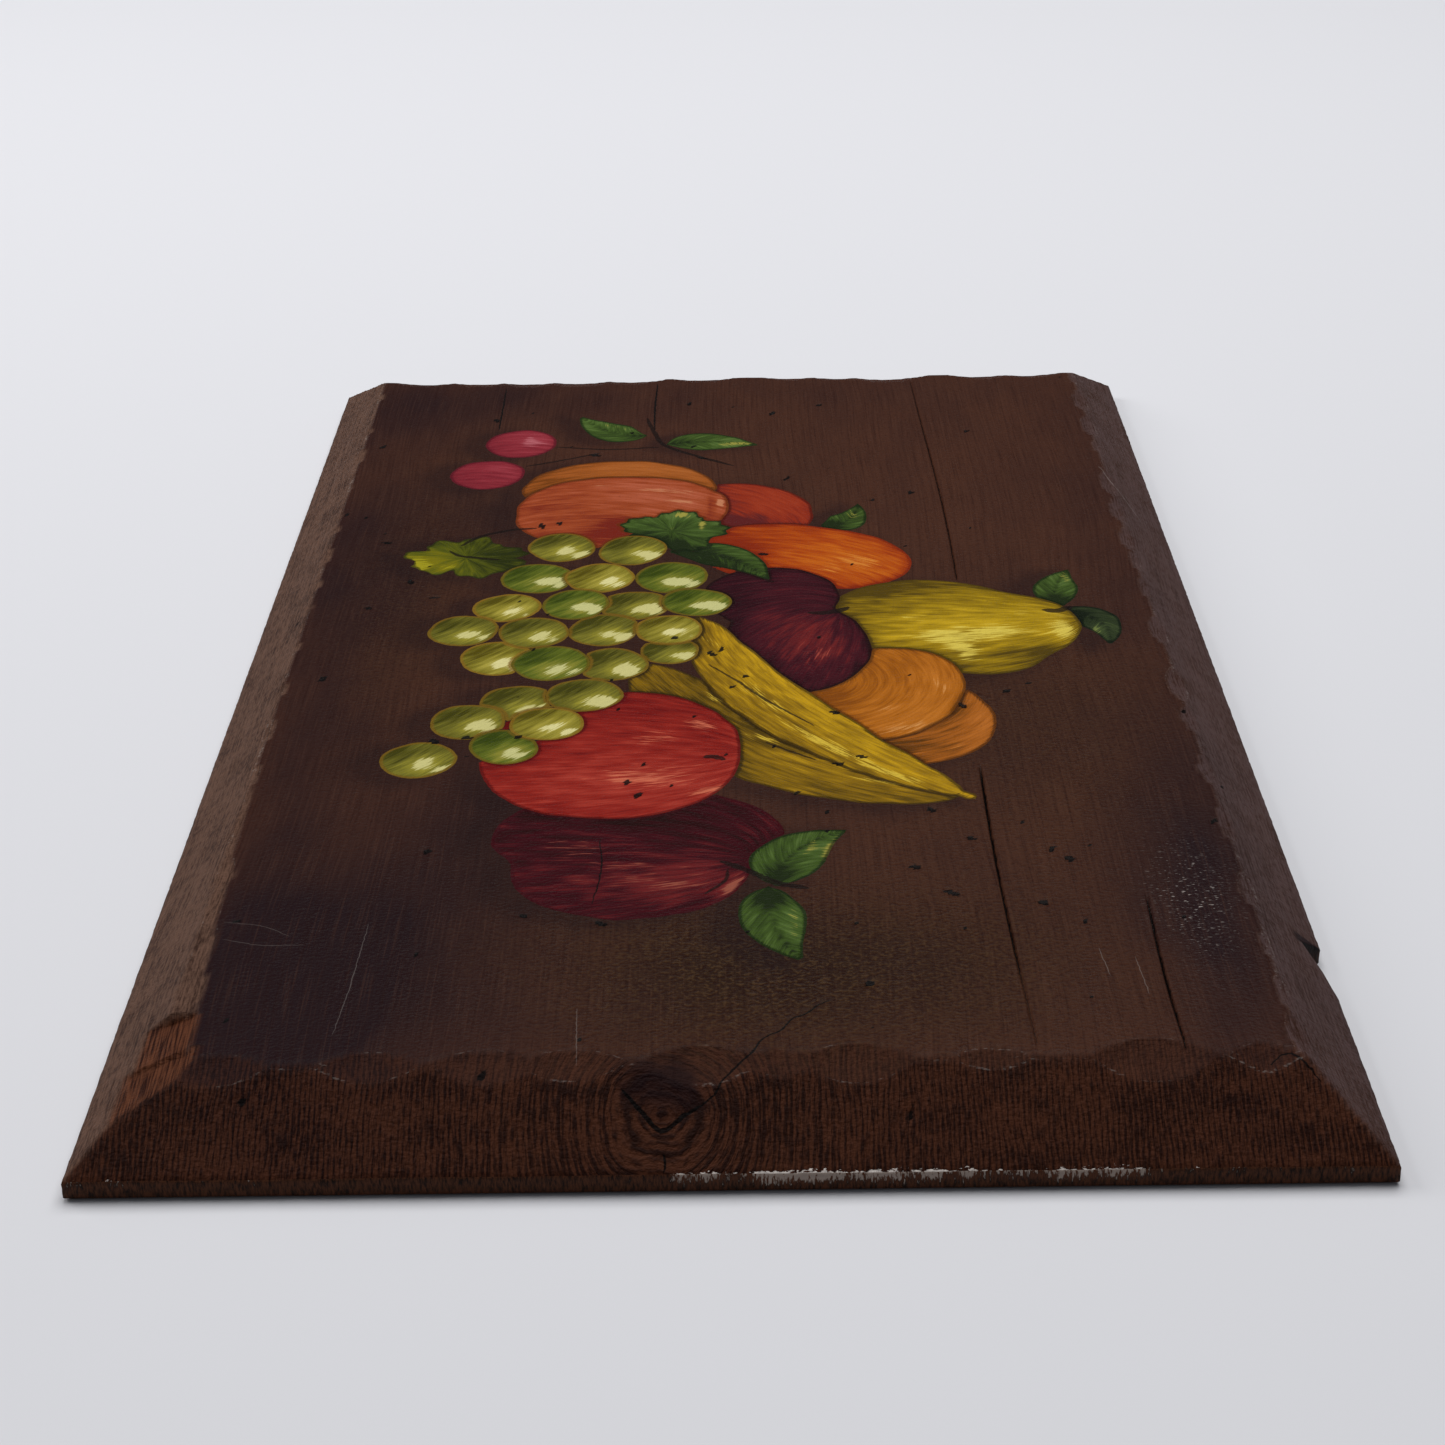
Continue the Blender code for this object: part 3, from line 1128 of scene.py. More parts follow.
@dataclass(frozen=True)
class LobedLeaf(Form):
    """A vine leaf: a radius that swells and pinches with the angle, with small teeth round it.

    The radius is R (1 - cut (1 - |cos(n a / 2)|^0.7)) (1 + teeth sin(k a)), for n lobes and k teeth.
    """

    palette: Palette
    x: float
    y: float
    rx: float
    ry: float
    turn: float
    lobes: int = 5
    cut: float = 0.28
    teeth: float = 0.05
    tooth_count: int = 19

    def box(self) -> tuple[float, float, float, float]:
        """Left, right, front and back of the leaf."""
        reach = max(self.rx, self.ry)
        return self.x - reach, self.x + reach, self.y - reach, self.y + reach

    def paint(self, x: Array, y: Array) -> Strokes:
        """Works out the strokes, which run out from the leaf's middle between darker veins.

        Args:
            x: Places across.
            y: Places along.
        Returns:
            The strokes.
        """
        u, v = own_axes(x - self.x, y - self.y, self.rx, self.ry, self.turn)
        radius, angle = np.hypot(u, v), np.arctan2(v, u)
        pinch = 1 - self.cut * (1 - np.abs(np.cos(self.lobes * angle / 2)) ** 0.7)
        outline = pinch * (1 + self.teeth * np.sin(self.tooth_count * angle))
        size = math.sqrt(self.rx * self.ry)
        distance = (outline - radius) * size * 0.8 + self.unsteady(x, y)
        vein = np.abs(np.sin(self.lobes * angle / 2)) * radius * size
        tone, light = self.model(x, y)
        return Strokes(distance, radius * size, angle * 6, tone - 0.1 * ease(1.6, 0.2, vein), light)


@dataclass(frozen=True)
class GrapeRow:
    """A row of grapes, evenly spaced from its first to its last."""

    first: Pair
    last: Pair
    count: int
    radius: float


@dataclass(frozen=True)
class Bunch:
    """The bunch of grapes: rows that step down to one loose grape.

    The second and fourth of each row lie over all the others. Apart from that, each row lies over the one
    before it.
    """

    rows: tuple[GrapeRow, ...]
    seed: int = 9
    wander: float = 1.3

    def grapes(self) -> list[Fruit]:
        """The grapes, each a little off its row and of its own green, lit at its lower right.

        Returns:
            Painted fruit.
        """
        rng = random.Random(self.seed)
        greens = (Palette.GRAPE_OLIVE, Palette.GRAPE_GREEN, Palette.GRAPE_OLIVE, Palette.GRAPE_YELLOW)
        under: list[Fruit] = []
        over: list[Fruit] = []
        for row in self.rows:
            for i in range(row.count):
                share = i / max(1, row.count - 1)
                x = row.first[0] + (row.last[0] - row.first[0]) * share + rng.uniform(-1, 1) * self.wander
                y = row.first[1] + (row.last[1] - row.first[1]) * share + rng.uniform(-1, 1) * self.wander
                rx, ry = (row.radius * rng.uniform(0.94, 1.07) for _ in range(2))
                lit_x, lit_y = x + rng.uniform(0.12, 0.34) * rx, y - rng.uniform(0.16, 0.36) * ry
                turn = rng.uniform(-35, 35)
                grape = Fruit(
                    rng.choice(greens), (Lobe(x, y, rx, ry, turn=turn, power=2.15),),
                    (x - 6 * rx, y + 5 * ry), base=0.40, turned=0.05, edge=2.4, wobble=0.35,
                    tones=(
                        Touch(lit_x, lit_y, 0.6 * rx, 0.54 * ry, 0.75, turn),
                        Touch(x - 0.5 * rx, y + 0.45 * ry, 0.6 * rx, 0.55 * ry, -0.42),
                    ),
                    lights=(
                        Touch(lit_x, lit_y, 0.5 * rx, 0.3 * ry, rng.uniform(0.55, 0.85), turn + 30),
                        Touch(x + 0.62 * rx, y - 0.5 * ry, 0.16 * rx, 0.36 * ry, rng.uniform(0.3, 0.7), -40),
                    ),
                )
                (over if i % 2 else under).append(grape)
        return [*under, *over]


# The cherries with their twig leaves, the peach and the oranges behind the vine leaf
FAR_FRUIT: tuple[Form, ...] = (
    Fruit(
        Palette.CHERRY, (Lobe(-72.5, 155.5, 12.3, 13.3),), (-74, 118),
        tones=(Touch(-67, 161, 8, 8, 0.3), Touch(-81, 152, 6, 12, -0.25)),
        lights=(Touch(-68, 155, 7, 4, 0.46), Touch(-70, 161, 4, 4, 0.34)),
    ),
    Fruit(
        Palette.CHERRY, (Lobe(-82, 127, 12.6, 12.9),), (-86, 92), base=0.42,
        tones=(Touch(-77, 133, 8, 7, 0.25), Touch(-90, 124, 6, 10, -0.2)),
        lights=(Touch(-78, 128, 7, 4, 0.3),),
    ),
    Blade(
        Palette.LEAF_GREEN, ((-29, 162), (-42, 160), (-53, 182)), 8.0, base=0.42, lean=0.12,
        tones=(Touch(-50, 175, 5, 8, 0.3),), lights=(Touch(-40, 171, 8, 3, 0.3, -30),),
    ),
    Blade(
        Palette.LEAF_GREEN, ((-21, 153), (-8, 158), (11, 151)), 8.2, base=0.4,
        tones=(Touch(1, 153, 9, 5, 0.4), Touch(-15, 154, 8, 8, -0.1)),
        lights=(Touch(3, 153, 9, 2.6, 0.5),),
    ),
    Blade(
        Palette.LEAF_GREEN, ((30, 79), (41, 78), (43, 96)), 6.6, base=0.38,
        tones=(Touch(33, 80, 4, 4, -0.4),), lights=(Touch(41, 88, 3, 7, 0.36),),
    ),
    Fruit(
        Palette.SCARLET, (Lobe(2, 89, 26, 27),), (-22, 66), turned=0.1,
        tones=(Touch(16, 100, 12, 14, 0.3), Touch(3, 83, 11, 7.5, -0.75), Touch(0, 108, 6, 10, -0.05)),
        lights=(Touch(17, 95, 6, 16, 0.22),),
    ),
    Fruit(
        Palette.PEACH_BACK, (Lobe(-36.5, 112.5, 32.5, 25.5),), (-38, 70), turned=0.15,
        tones=(Touch(-22, 131, 20, 8, 0.3), Touch(-62, 120, 8, 12, -0.2)),
    ),
    Fruit(
        Palette.PEACH, (Lobe(-35.5, 93, 34.3, 30.2, power=2.3), Lobe(-3.5, 98, 3.4, 9.5, turn=6)),
        (-46, 34), turned=0.12, melt=1.0,
        tones=(
            Touch(-22, 108, 24, 12, 0.34, -14), Touch(-58, 100, 12, 26, -0.1),
            Touch(-38, 77, 8, 9, -0.75), Touch(-16, 92, 18, 6, 0.16), Touch(-5.5, 97, 1.2, 9, -0.5),
        ),
        lights=(
            Touch(-20, 110, 16, 4, 0.42, -10), Touch(-15, 101, 14, 3, 0.36, -4),
            Touch(-44, 116, 9, 3, 0.3), Touch(-2.5, 98, 1.6, 6, 0.5),
        ),
    ),
    Fruit(
        Palette.ORANGE, (Lobe(24, 55, 34.5, 23.5, turn=-22, power=2.2),), (-4, -14), turned=0.4, edge=4.5,
        tones=(Touch(36, 51, 20, 14, 0.38, -22), Touch(0, 64, 15, 12, -0.42), Touch(11, 57, 4, 5, -0.3)),
        lights=(Touch(41, 50, 14, 8, 0.42, -30), Touch(30, 44, 10, 4, 0.3, -30)),
    ),
)

# The pear with its leaves, the two apricots and the plum with the vine's pointed leaf
RIGHT_FRUIT: tuple[Form, ...] = (
    Blade(
        Palette.LEAF_GREEN, ((99, 12), (99, 30), (106, 41)), 6.6, base=0.38,
        tones=(Touch(103, 17, 7, 6, -0.45), Touch(103, 33, 3, 8, 0.3)),
        lights=(Touch(104, 36, 2.5, 6, 0.4),),
    ),
    Blade(
        Palette.LEAF_DARK, ((99, 12), (116, 8), (112, -13)), 6.6, base=0.5,
        tones=(Touch(104, 8, 7, 5, -0.5), Touch(110, -4, 4, 7, 0.3)),
        lights=(Touch(109, -3, 2.5, 6, 0.42),),
    ),
    Fruit(
        Palette.PEAR,
        (Lobe(60, 7, 31, 28, turn=-12), Lobe(88, 2, 17, 20), Lobe(72, -15, 20, 16, turn=-16)),
        (106, 6), Brush.RAYS, facing=180, base=0.46, turned=0.3, edge=7, melt=3.0,
        tones=(
            Touch(70, 2, 30, 12, 0.42, 12), Touch(44, 27, 20, 10, -0.42),
            Touch(88, -17, 15, 4.5, -0.34, 16), Touch(40, -4, 7, 14, -0.25), Touch(99, -4, 6, 12, 0.3),
            Touch(86, 23, 10, 6, 0.1),
        ),
        lights=(
            Touch(76, -3, 23, 7, 0.46, 4), Touch(62, -9, 12, 7, 0.2, -30), Touch(70, -18, 5, 9, 0.36),
            Touch(100, -2, 4, 10, 0.4), Touch(58, 8, 14, 4, 0.3), Touch(90, 10, 12, 5, 0.3),
        ),
    ),
    Fruit(
        Palette.APRICOT_BACK, (Lobe(49, -59, 25.5, 26.5),), (40, -40), turned=0.1, edge=2.0,
        tones=(Touch(69, -62, 6, 20, 0.3), Touch(63, -50, 6, 12, -0.35), Touch(48, -74, 12, 5, -0.3)),
        lights=(Touch(64, -74, 8, 6, 0.3, 40),),
    ),
    Fruit(
        Palette.APRICOT, (Lobe(43.5, -42, 22.5, 30, turn=-24, power=2.1),), (26, -34),
        turned=0.14, edge=2.6,
        tones=(
            Touch(50, -60, 18, 9, 0.3, 16), Touch(27, -45, 9, 7, -0.5), Touch(48, -24, 10, 6, -0.18),
            Touch(59, -36, 7, 12, 0.24),
        ),
        lights=(
            Touch(60, -38, 5, 8, 0.34, 20), Touch(48, -64, 15, 4, 0.42, 18), Touch(44, -52, 10, 5, 0.26),
        ),
    ),
    Fruit(
        Palette.PLUM, (Lobe(13, 25, 21, 21), Lobe(20, -11, 22, 30)), (34, 13), Brush.RAYS, facing=-110,
        base=0.4, turned=0.25, edge=5, melt=1.6,
        tones=(Touch(24, -8, 12, 14, 0.42), Touch(12, 8, 10, 4, 0.2), Touch(2, 24, 8, 30, -0.3)),
        lights=(Touch(25, -14, 9, 12, 0.34), Touch(8, 8, 8, 3, 0.26)),
    ),
    Blade(
        Palette.LEAF_GREEN, ((-19, 60), (2, 62), (13, 36)), 8.4, base=0.3, lean=-0.3,
        tones=(Touch(-8, 52, 9, 9, -0.35), Touch(6, 38, 6, 5, 0.4)),
        lights=(Touch(6, 38, 6, 2.6, 0.5, -30),),
    ),
)

# The two bananas, the one underneath first
BANANAS: tuple[Form, ...] = (
    Blade(
        Palette.BANANA, ((-26, -20), (2, -85), (61, -102)), 17.5, fullest=0.5, fullness=0.62, tip=1.0,
        veined=False, base=0.36,
        tones=(
            Touch(26, -86, 26, 5, 0.28, -28), Touch(8, -62, 5, 12, -0.12), Touch(-12, -30, 18, 12, -0.16),
        ),
        lights=(
            Touch(10, -70, 12, 5, 0.36, -40), Touch(-4, -44, 8, 3, 0.36, -50),
            Touch(40, -94, 14, 2, 0.4, -18),
        ),
    ),
    Blade(
        Palette.BANANA, ((-9, 11), (1, -52), (61, -101)), 10.2, fullest=0.5, fullness=0.6, tip=1.6,
        veined=False, base=0.68, lean=-0.16,
        tones=(
            Touch(-10, 2, 6, 12, -0.35), Touch(26, -56, 8, 20, -0.06, 40),
            Touch(50, -92, 14, 4, 0.1, -38),
        ),
        lights=(
            Touch(10, -44, 4, 18, 0.44, 30), Touch(28, -74, 20, 3, 0.5, -48),
            Touch(48, -93, 12, 2.4, 0.46, -36), Touch(-5, -8, 3, 9, 0.36, 20),
        ),
    ),
)

# The two apples with their leaves
APPLES: tuple[Form, ...] = (
    Fruit(
        Palette.DARK_APPLE, (Lobe(-23.5, -121, 37.5, 24), Lobe(-24.5, -139, 30, 23.5)),
        (6, -134), Brush.RAYS, facing=180, base=0.42, turned=-0.1, edge=3, melt=1.5,
        tones=(
            Touch(-14, -144, 17, 9, 0.5, 8), Touch(-26, -112, 30, 8, -0.3),
            Touch(-34, -134, 20, 16, 0.14), Touch(1, -148, 2.5, 9, 0.5, -24), Touch(12, -114, 3, 14, 0.2),
        ),
        lights=(
            Touch(-24, -140, 26, 14, 0.31), Touch(-10, -147, 12, 3, 0.14), Touch(1, -148, 2, 8, 0.4, -24),
            Touch(-42, -126, 12, 8, 0.24),
        ),
    ),
    Fruit(
        Palette.RED_APPLE, (Lobe(-32, -76, 35.7, 36.6, power=2.15),), (7, -77), Brush.RAYS, facing=180,
        base=0.48, turned=-0.12, edge=3,
        tones=(
            Touch(-24, -92, 26, 12, 0.32), Touch(-26, -48, 24, 10, -0.22), Touch(-60, -82, 8, 20, -0.12),
            Touch(-6, -66, 6, 14, -0.12),
        ),
        lights=(
            Touch(-22, -90, 24, 11, 0.4), Touch(-20, -68, 13, 7, 0.34), Touch(-8, -60, 8, 4, 0.4, -30),
            Touch(-5, -98, 9, 1.6, 0.4, 26),
        ),
    ),
    Blade(
        Palette.LEAF_GREEN, ((12, -147), (13, -128), (31, -120)), 9.2, fullest=0.36, base=0.42,
        tones=(Touch(14, -142, 7, 6, -0.3), Touch(24, -130, 6, 10, 0.2, -20)),
        lights=(Touch(26, -130, 2.4, 9, 0.52, -20), Touch(21, -128, 2, 7, 0.4, -20)),
    ),
    Blade(
        Palette.LEAF_GREEN, ((10, -148), (9, -168), (17.5, -182)), 8.2, fullest=0.36, base=0.4,
        tones=(Touch(11, -152, 7, 6, -0.5), Touch(15, -164, 4, 8, 0.3)),
        lights=(Touch(16, -165, 2.2, 9, 0.34),),
    ),
)

# The vine's lobed leaves
VINE_LEAVES: tuple[Form, ...] = (
    LobedLeaf(
        Palette.LEAF_GREEN, -18, 76, 17, 18, 80, base=0.4,
        tones=(Touch(-20, 64, 12, 8, -0.45), Touch(-16, 90, 7, 5, 0.3), Touch(-10, 76, 5, 9, 0.2)),
        lights=(Touch(-15, 90, 3.5, 4, 0.55), Touch(-8.5, 81, 2, 5, 0.55), Touch(-17, 78, 5, 2, 0.3)),
    ),
    LobedLeaf(
        Palette.LEAF_YELLOW, -83, 57, 20, 15, 176, lobes=7, cut=0.2, tooth_count=17, base=0.34,
        wobble=2.2, wobble_length=4.6,
        tones=(Touch(-98, 53, 10, 12, 0.7), Touch(-88, 52, 9, 6, 0.3), Touch(-70, 60, 10, 14, -0.3)),
        lights=(Touch(-99, 53, 6, 9, 0.5), Touch(-87, 50, 8, 3, 0.36)),
    ),
)

GRAPES = Bunch((
    GrapeRow((-53, 64.5), (-31, 60.5), 2, 10.9),
    GrapeRow((-60.5, 40), (-17.5, 41), 3, 11.1),
    GrapeRow((-66, 20), (-10, 20.5), 4, 10.3),
    GrapeRow((-78, 2), (-18.5, 2.5), 4, 10.5),
    GrapeRow((-18, -12.5), (-18, -12.5), 1, 8.8),
    GrapeRow((-68, -17), (-34, -21), 3, 10.8),
    GrapeRow((-59.5, -45), (-40, -40), 2, 10.9),
    GrapeRow((-72, -57.5), (-49.5, -57.5), 2, 10.3),
    GrapeRow((-61, -72.5), (-61, -72.5), 1, 9.6),
    GrapeRow((-83.5, -79.5), (-83.5, -79.5), 1, 10.6),
))

# The twigs, stems, creases and tendrils, in two passes so that those that meet are apart
PAINTED_LINES: tuple[tuple[ThinLine, ...], ...] = (
    (
        ThinLine(((-60, 152), (-42, 149), (-24, 150.5)), 0.5, fade=0.3),
        ThinLine(((-86, 66), (-80, 74), (-70, 79), (-62, 80)), 0.8),
        ThinLine(((-2, -135), (5, -140), (12, -146), (20, -149)), 1.1, fade=0.3),
        ThinLine(((24, 12), (29, 12), (33, 13), (37, 16)), 1.4),
        ThinLine(((95, 12), (99, 11), (104, 14)), 1.5),
        ThinLine(((-7, -79.5), (-4, -79), (-1, -81)), 1.2),
        ThinLine(((-6, -22), (3, -34), (11, -46), (24, -62)), 0.55, fade=0.9),
        ThinLine(((10, -71), (16, -76), (24, -82)), 0.5, fade=0.9),
    ),
    (
        ThinLine(((-29, 179), (-26, 165), (-22, 152), (-10, 141), (2, 132)), 0.85, fade=0.3),
        ThinLine(((-70, 134), (-58, 139), (-44, 146)), 0.5, fade=0.3),
        ThinLine(((-89, 63), (-86, 59), (-80, 57), (-72, 55)), 0.7),
        ThinLine(((0, -139), (-1, -145), (-6, -151)), 0.5),
    ),
)


@dataclass(frozen=True)
class StillLife:
    """The painting in the board's plan, with its top at the board's right: forms, from back to front."""

    forms: tuple[Form, ...]
    lines: tuple[tuple[ThinLine, ...], ...]

    gap: float = 1.7
    reach: float = 26.0
    contact: float = 0.3
    contact_reach: float = 2.4
    shadow_shift: Pair = (6.0, 2.0)
    shadow_reach: float = 6.0

    def lay(self, top: Surface) -> tuple[int, int]:
        """Lays the painting on the surface as fields, in as few passes as keep touching forms apart.

        The forms are taken from the front. What shows of a form is its own signed distance, held below
        the opposite of the distance to whatever is in front of it, so at each place one form at most is
        above zero. It goes to the first pass that holds nothing within the gap of it. What is in front
        of a form darkens it near by, and the wood to the left of the fruit is darkened as a whole.

        Args:
            top: The board's surface.
        Returns:
            The number of passes with bodies and of passes with lines.
        """
        passes: list[dict[str, Array]] = []
        shade, cover = np.zeros_like(top.x), np.full_like(top.x, FAR)
        run = np.zeros((*top.x.shape, 3))
        for form in reversed(self.forms):
            left, right, front, back = form.box()
            near = (top.x > left - self.reach) & (top.x < right + self.reach)
            near &= (top.y > front - self.reach) & (top.y < back + self.reach)
            spots = np.nonzero(near)
            x, y = top.x[spots], top.y[spots]
            strokes = form.paint(x, y)
            shifted = form.paint(x + self.shadow_shift[0], y + self.shadow_shift[1]).distance
            shade[spots] = np.maximum(shade[spots], np.exp(-np.clip(-shifted, 0, None) / self.shadow_reach))
            visible = np.maximum(np.minimum(strokes.distance, -cover[spots]), FAR)
            tone = strokes.tone - self.contact * np.exp(np.minimum(cover[spots], 0) / self.contact_reach)
            cover[spots] = np.maximum(cover[spots], strokes.distance)
            close = visible > -self.gap
            free = (i for i, layer in enumerate(passes) if not np.any(layer["held"][spots] & close))
            level = next(free, -1)
            if level < 0:
                passes.append(self.blank(top))
            layer = passes[level]
            layer["held"][spots] |= close
            better = visible > layer["distance"][spots]
            inner = tuple(index[better] for index in spots)
            laid = {"distance": visible, "tone": tone, "light": strokes.light}
            laid |= {"along": strokes.along, "across": strokes.across}
            for name, values in laid.items():
                layer[name][inner] = values[better]
            layer["palette"][inner] = form.palette.number
            shown = visible > 0
            seen = tuple(index[shown] for index in spots)
            way = [strokes.along[shown], strokes.across[shown], np.ones(shown.sum())]
            run[seen] = np.stack(way, axis=-1)
        for i, layer in enumerate(passes):
            top.keep(f"paint_place_{i}", layer["distance"], layer["along"], layer["across"])
            top.keep(f"paint_tone_{i}", layer["palette"], layer["tone"], layer["light"])
        top.fields["paint_strokes"] = run
        top.keep("paint_shade", shade)
        for i, group in enumerate(self.lines):
            top.lines(f"paint_lines_{i}", group)
        return len(passes), len(self.lines)

    def blank(self, top: Surface) -> dict[str, Array]:
        """An empty pass of paint, which holds no place yet.

        Args:
            top: The board's surface.
        Returns:
            The pass's arrays by name.
        """
        names = ("along", "across", "palette", "tone", "light")
        empty = {name: np.zeros_like(top.x) for name in names}
        return empty | {"distance": np.full_like(top.x, FAR), "held": np.zeros(top.x.shape, bool)}


# The finishes


@dataclass(frozen=True)
class StainedPine:
    """The face and bevels: flat-sawn pine, stained, painted in oils and varnished by hand.

    To the eye this gives faint streaks along the grain, ribs on the end grain that bend round the knot,
    purple-black and olive clouds in the stain, and brush strokes under one satin coat. The side bevels
    hold a painted sheen, lighter on the left and cooler on the right, and the whitish colour of the worn
    places also paints highlights on the facets' edges and glints in one patch.
    """

    warm: str = "#45271a"
    deep: str = "#1e0e12"
    olive: str = "#2c190a"
    # Pale golden flecks: paler wood, with painted highlights on the varnish's bumps in the olive cloud
    leather: str = "#4f3820"
    streak: str = "#210804"
    light_streak: str = "#56382a"
    end_dark: str = "#170705"
    end_light: str = "#4c2a1b"
    # The side bevels: a painted sheen, lighter on the left, and a cool painted reflection on the right
    bevel: str = "#684d3f"
    bevel_cool_reflection: str = "#5f5053"
    bevel_dark: str = "#36231a"
    raw_dark: str = "#260d05"
    raw_light: str = "#5c3522"
    # Near black: the dark stain in the dents, and painted shade inside the cracks and checks
    crack: str = "#050303"
    # The knot's dark stain; also the notch's painted shade and the dark glaze beside the fruit
    knot: str = "#190a0d"
    # Whitish: worn wood, and also the colour of the painted highlights and glints
    worn: str = "#e6dcd4"

    leather_size: Triple = (1.1, 0.85, 0.8)
    dash_size: Triple = (0.46, 3.0, 1)
    streak_width: float = 0.55
    streak_length: float = 30.0
    ring_pitch: float = 3.1
    rib_pitch: float = 1.25
    bristle: float = 0.42
    bristle_length: float = 7.0
    stroke: float = 1.9
    stroke_length: float = 11.0
    swing: float = 1.9
    edge_wander: float = 0.5
    edge_soft: float = 0.12
    rib_contrast: float = 0.1
    streak_relief: float = 0.1
    leather_relief: float = 0.32
    rib_relief: float = 0.6
    bristle_relief: float = 0.08
    roughness: float = 0.38
    bevel_roughness: float = 0.62
    ior: float = 1.45
    specular: float = 0.045

    def grains(self, tree: Tree, place: Socket, size: Triple, detail: float = 2.0) -> Socket:
        """A pattern of grains of a given size in millimetres.

        Args:
            tree: The node tree.
            place: Places in millimetres.
            size: The grains' size along each axis.
            detail: How many finer layers the noise has.
        Returns:
            Noise about 0.5.
        """
        scaled = add(tree, "VectorMath", place, tuple(1 / s for s in size), operation="MULTIPLY")
        return add(tree, "TexNoise", {"Vector": scaled, "Scale": 1.0, "Detail": detail, "Roughness": 0.55})

    def field(self, tree: Tree, name: str) -> list[Socket]:
        """The three parts of one of the mesh's fields."""
        vector = add(tree, "Attribute", output="Vector", attribute_name=name)
        return list(add(tree, "SeparateXYZ", vector).node.outputs)

    def line(self, tree: Tree, name: str, shake: Socket, soft: float) -> Socket:
        """The share of one of the mesh's thin lines at each place.

        Args:
            tree: The node tree.
            name: The lines' field.
            shake: Noise that shakes the line, in millimetres about 0.
            soft: The softness of its edge in millimetres.
        Returns:
            Shares from 0 to 1.
        """
        offset, width, _ = self.field(tree, name)
        return self.thin_line(tree, offset, width, shake, soft)

    def thin_line(self, tree: Tree, offset: Socket, width: Socket, shake: Socket, soft: float) -> Socket:
        """The share of a line at each place, from its own offset and half width.

        Args:
            tree: The node tree.
            offset: Signed offsets from the line.
            width: Its half width.
            shake: Noise that shakes the line, in millimetres about 0.
            soft: The softness of its edge in millimetres.
        Returns:
            Shares from 0 to 1.
        """
        shaken = add(tree, "Math", offset, shake, operation="ADD")
        size = add(tree, "Math", shaken, operation="ABSOLUTE")
        inside = add(tree, "Math", width, size, operation="SUBTRACT")
        return add(tree, "MapRange", inside, -soft, soft, **EASED)

    def stained(self, tree: Tree, plan: Socket, grain: Socket, fine: Socket) -> Socket:
        """The stained face's colour: a clouded ground with faint streaks, rings and flecks.

        Args:
            tree: The node tree.
            plan: Places in millimetres.
            grain: Places across and along the grain.
            fine: The streaks' noise.
        Returns:
            The colour.
        """
        dark, olive, _ = self.field(tree, "ground")
        cloud = self.grains(tree, plan, (26, 48, 20), 3.0)
        cloudy = add(tree, "Math", cloud, 0.7, dark, operation="MULTIPLY_ADD")
        colour = add(tree, "Mix", {0: olive, 6: self.warm, 7: self.olive}, **COLOURS)
        gloom = add(tree, "MapRange", cloudy, 0.30, 1.15, 0.0, 1.0)
        colour = add(tree, "Mix", {0: gloom, 6: colour, 7: self.deep}, **COLOURS)
        rings = add(tree, "TexWave", {"Vector": grain, "Scale": 0.314 / self.ring_pitch, "Distortion": 3.0,
                                      "Detail": 2.0, "Detail Scale": 0.12}, output="Fac")
        flecks = self.grains(tree, plan, self.leather_size, 1.5)
        deeper = add(tree, "Math", olive, 0.5, 0.25, operation="MULTIPLY_ADD")
        for noise, low, high, weight, tint in (
            (rings, 0.62, 1.0, 0.12, self.streak),
            (fine, 0.5, 0.72, 0.42, self.streak),
            (fine, 0.5, 0.28, 0.2, self.light_streak),
            (flecks, 0.52, 0.66, deeper, self.streak),
            # Pale golden flecks in the olive cloud: paler wood, partly painted highlights on the bumps
            (flecks, 0.48, 0.32, add(tree, "Math", olive, 0.55, operation="MULTIPLY"), self.leather),
        ):
            share = add(tree, "MapRange", noise, low, high, **EASED)
            share = add(tree, "Math", share, weight, operation="MULTIPLY")
            colour = add(tree, "Mix", {0: share, 6: colour, 7: tint}, **COLOURS)
        return colour

    def wood(self, tree: Tree, plan: Socket) -> Socket:
        """The wood's colour: face, bevels with a painted sheen at the sides, gouged facets and raw splits.

        Args:
            tree: The node tree.
            plan: Places in millimetres.
        Returns:
            The colour.
        """
        ring, run, knot = self.field(tree, "grain")
        grain = add(tree, "CombineXYZ", ring, run)
        fine = self.grains(tree, grain, (self.streak_width, self.streak_length, 1), 3.0)
        colour = self.stained(tree, plan, grain, fine)
        end, left, right = self.field(tree, "bevels")
        rings = add(tree, "Attribute", output="Vector", attribute_name="rings")
        dashes = self.grains(tree, rings, self.dash_size, 2.0)
        blotch = self.grains(tree, plan, (14, 9, 9), 2.0)
        outward, _, near = add(tree, "SeparateXYZ", rings).node.outputs
        bent = add(tree, "Math", near, self.rib_contrast, operation="MULTIPLY")
        ribbed = add(tree, "Math", blotch, 0.5, dashes, operation="MULTIPLY_ADD")
        for pitch, contrast in ((self.rib_pitch, self.rib_contrast), (self.ring_pitch, bent)):
            turn = add(tree, "Math", outward, 2 * math.pi / pitch, operation="MULTIPLY")
            wave = add(tree, "Math", turn, operation="SINE")
            ribbed = add(tree, "Math", wave, contrast, ribbed, operation="MULTIPLY_ADD")
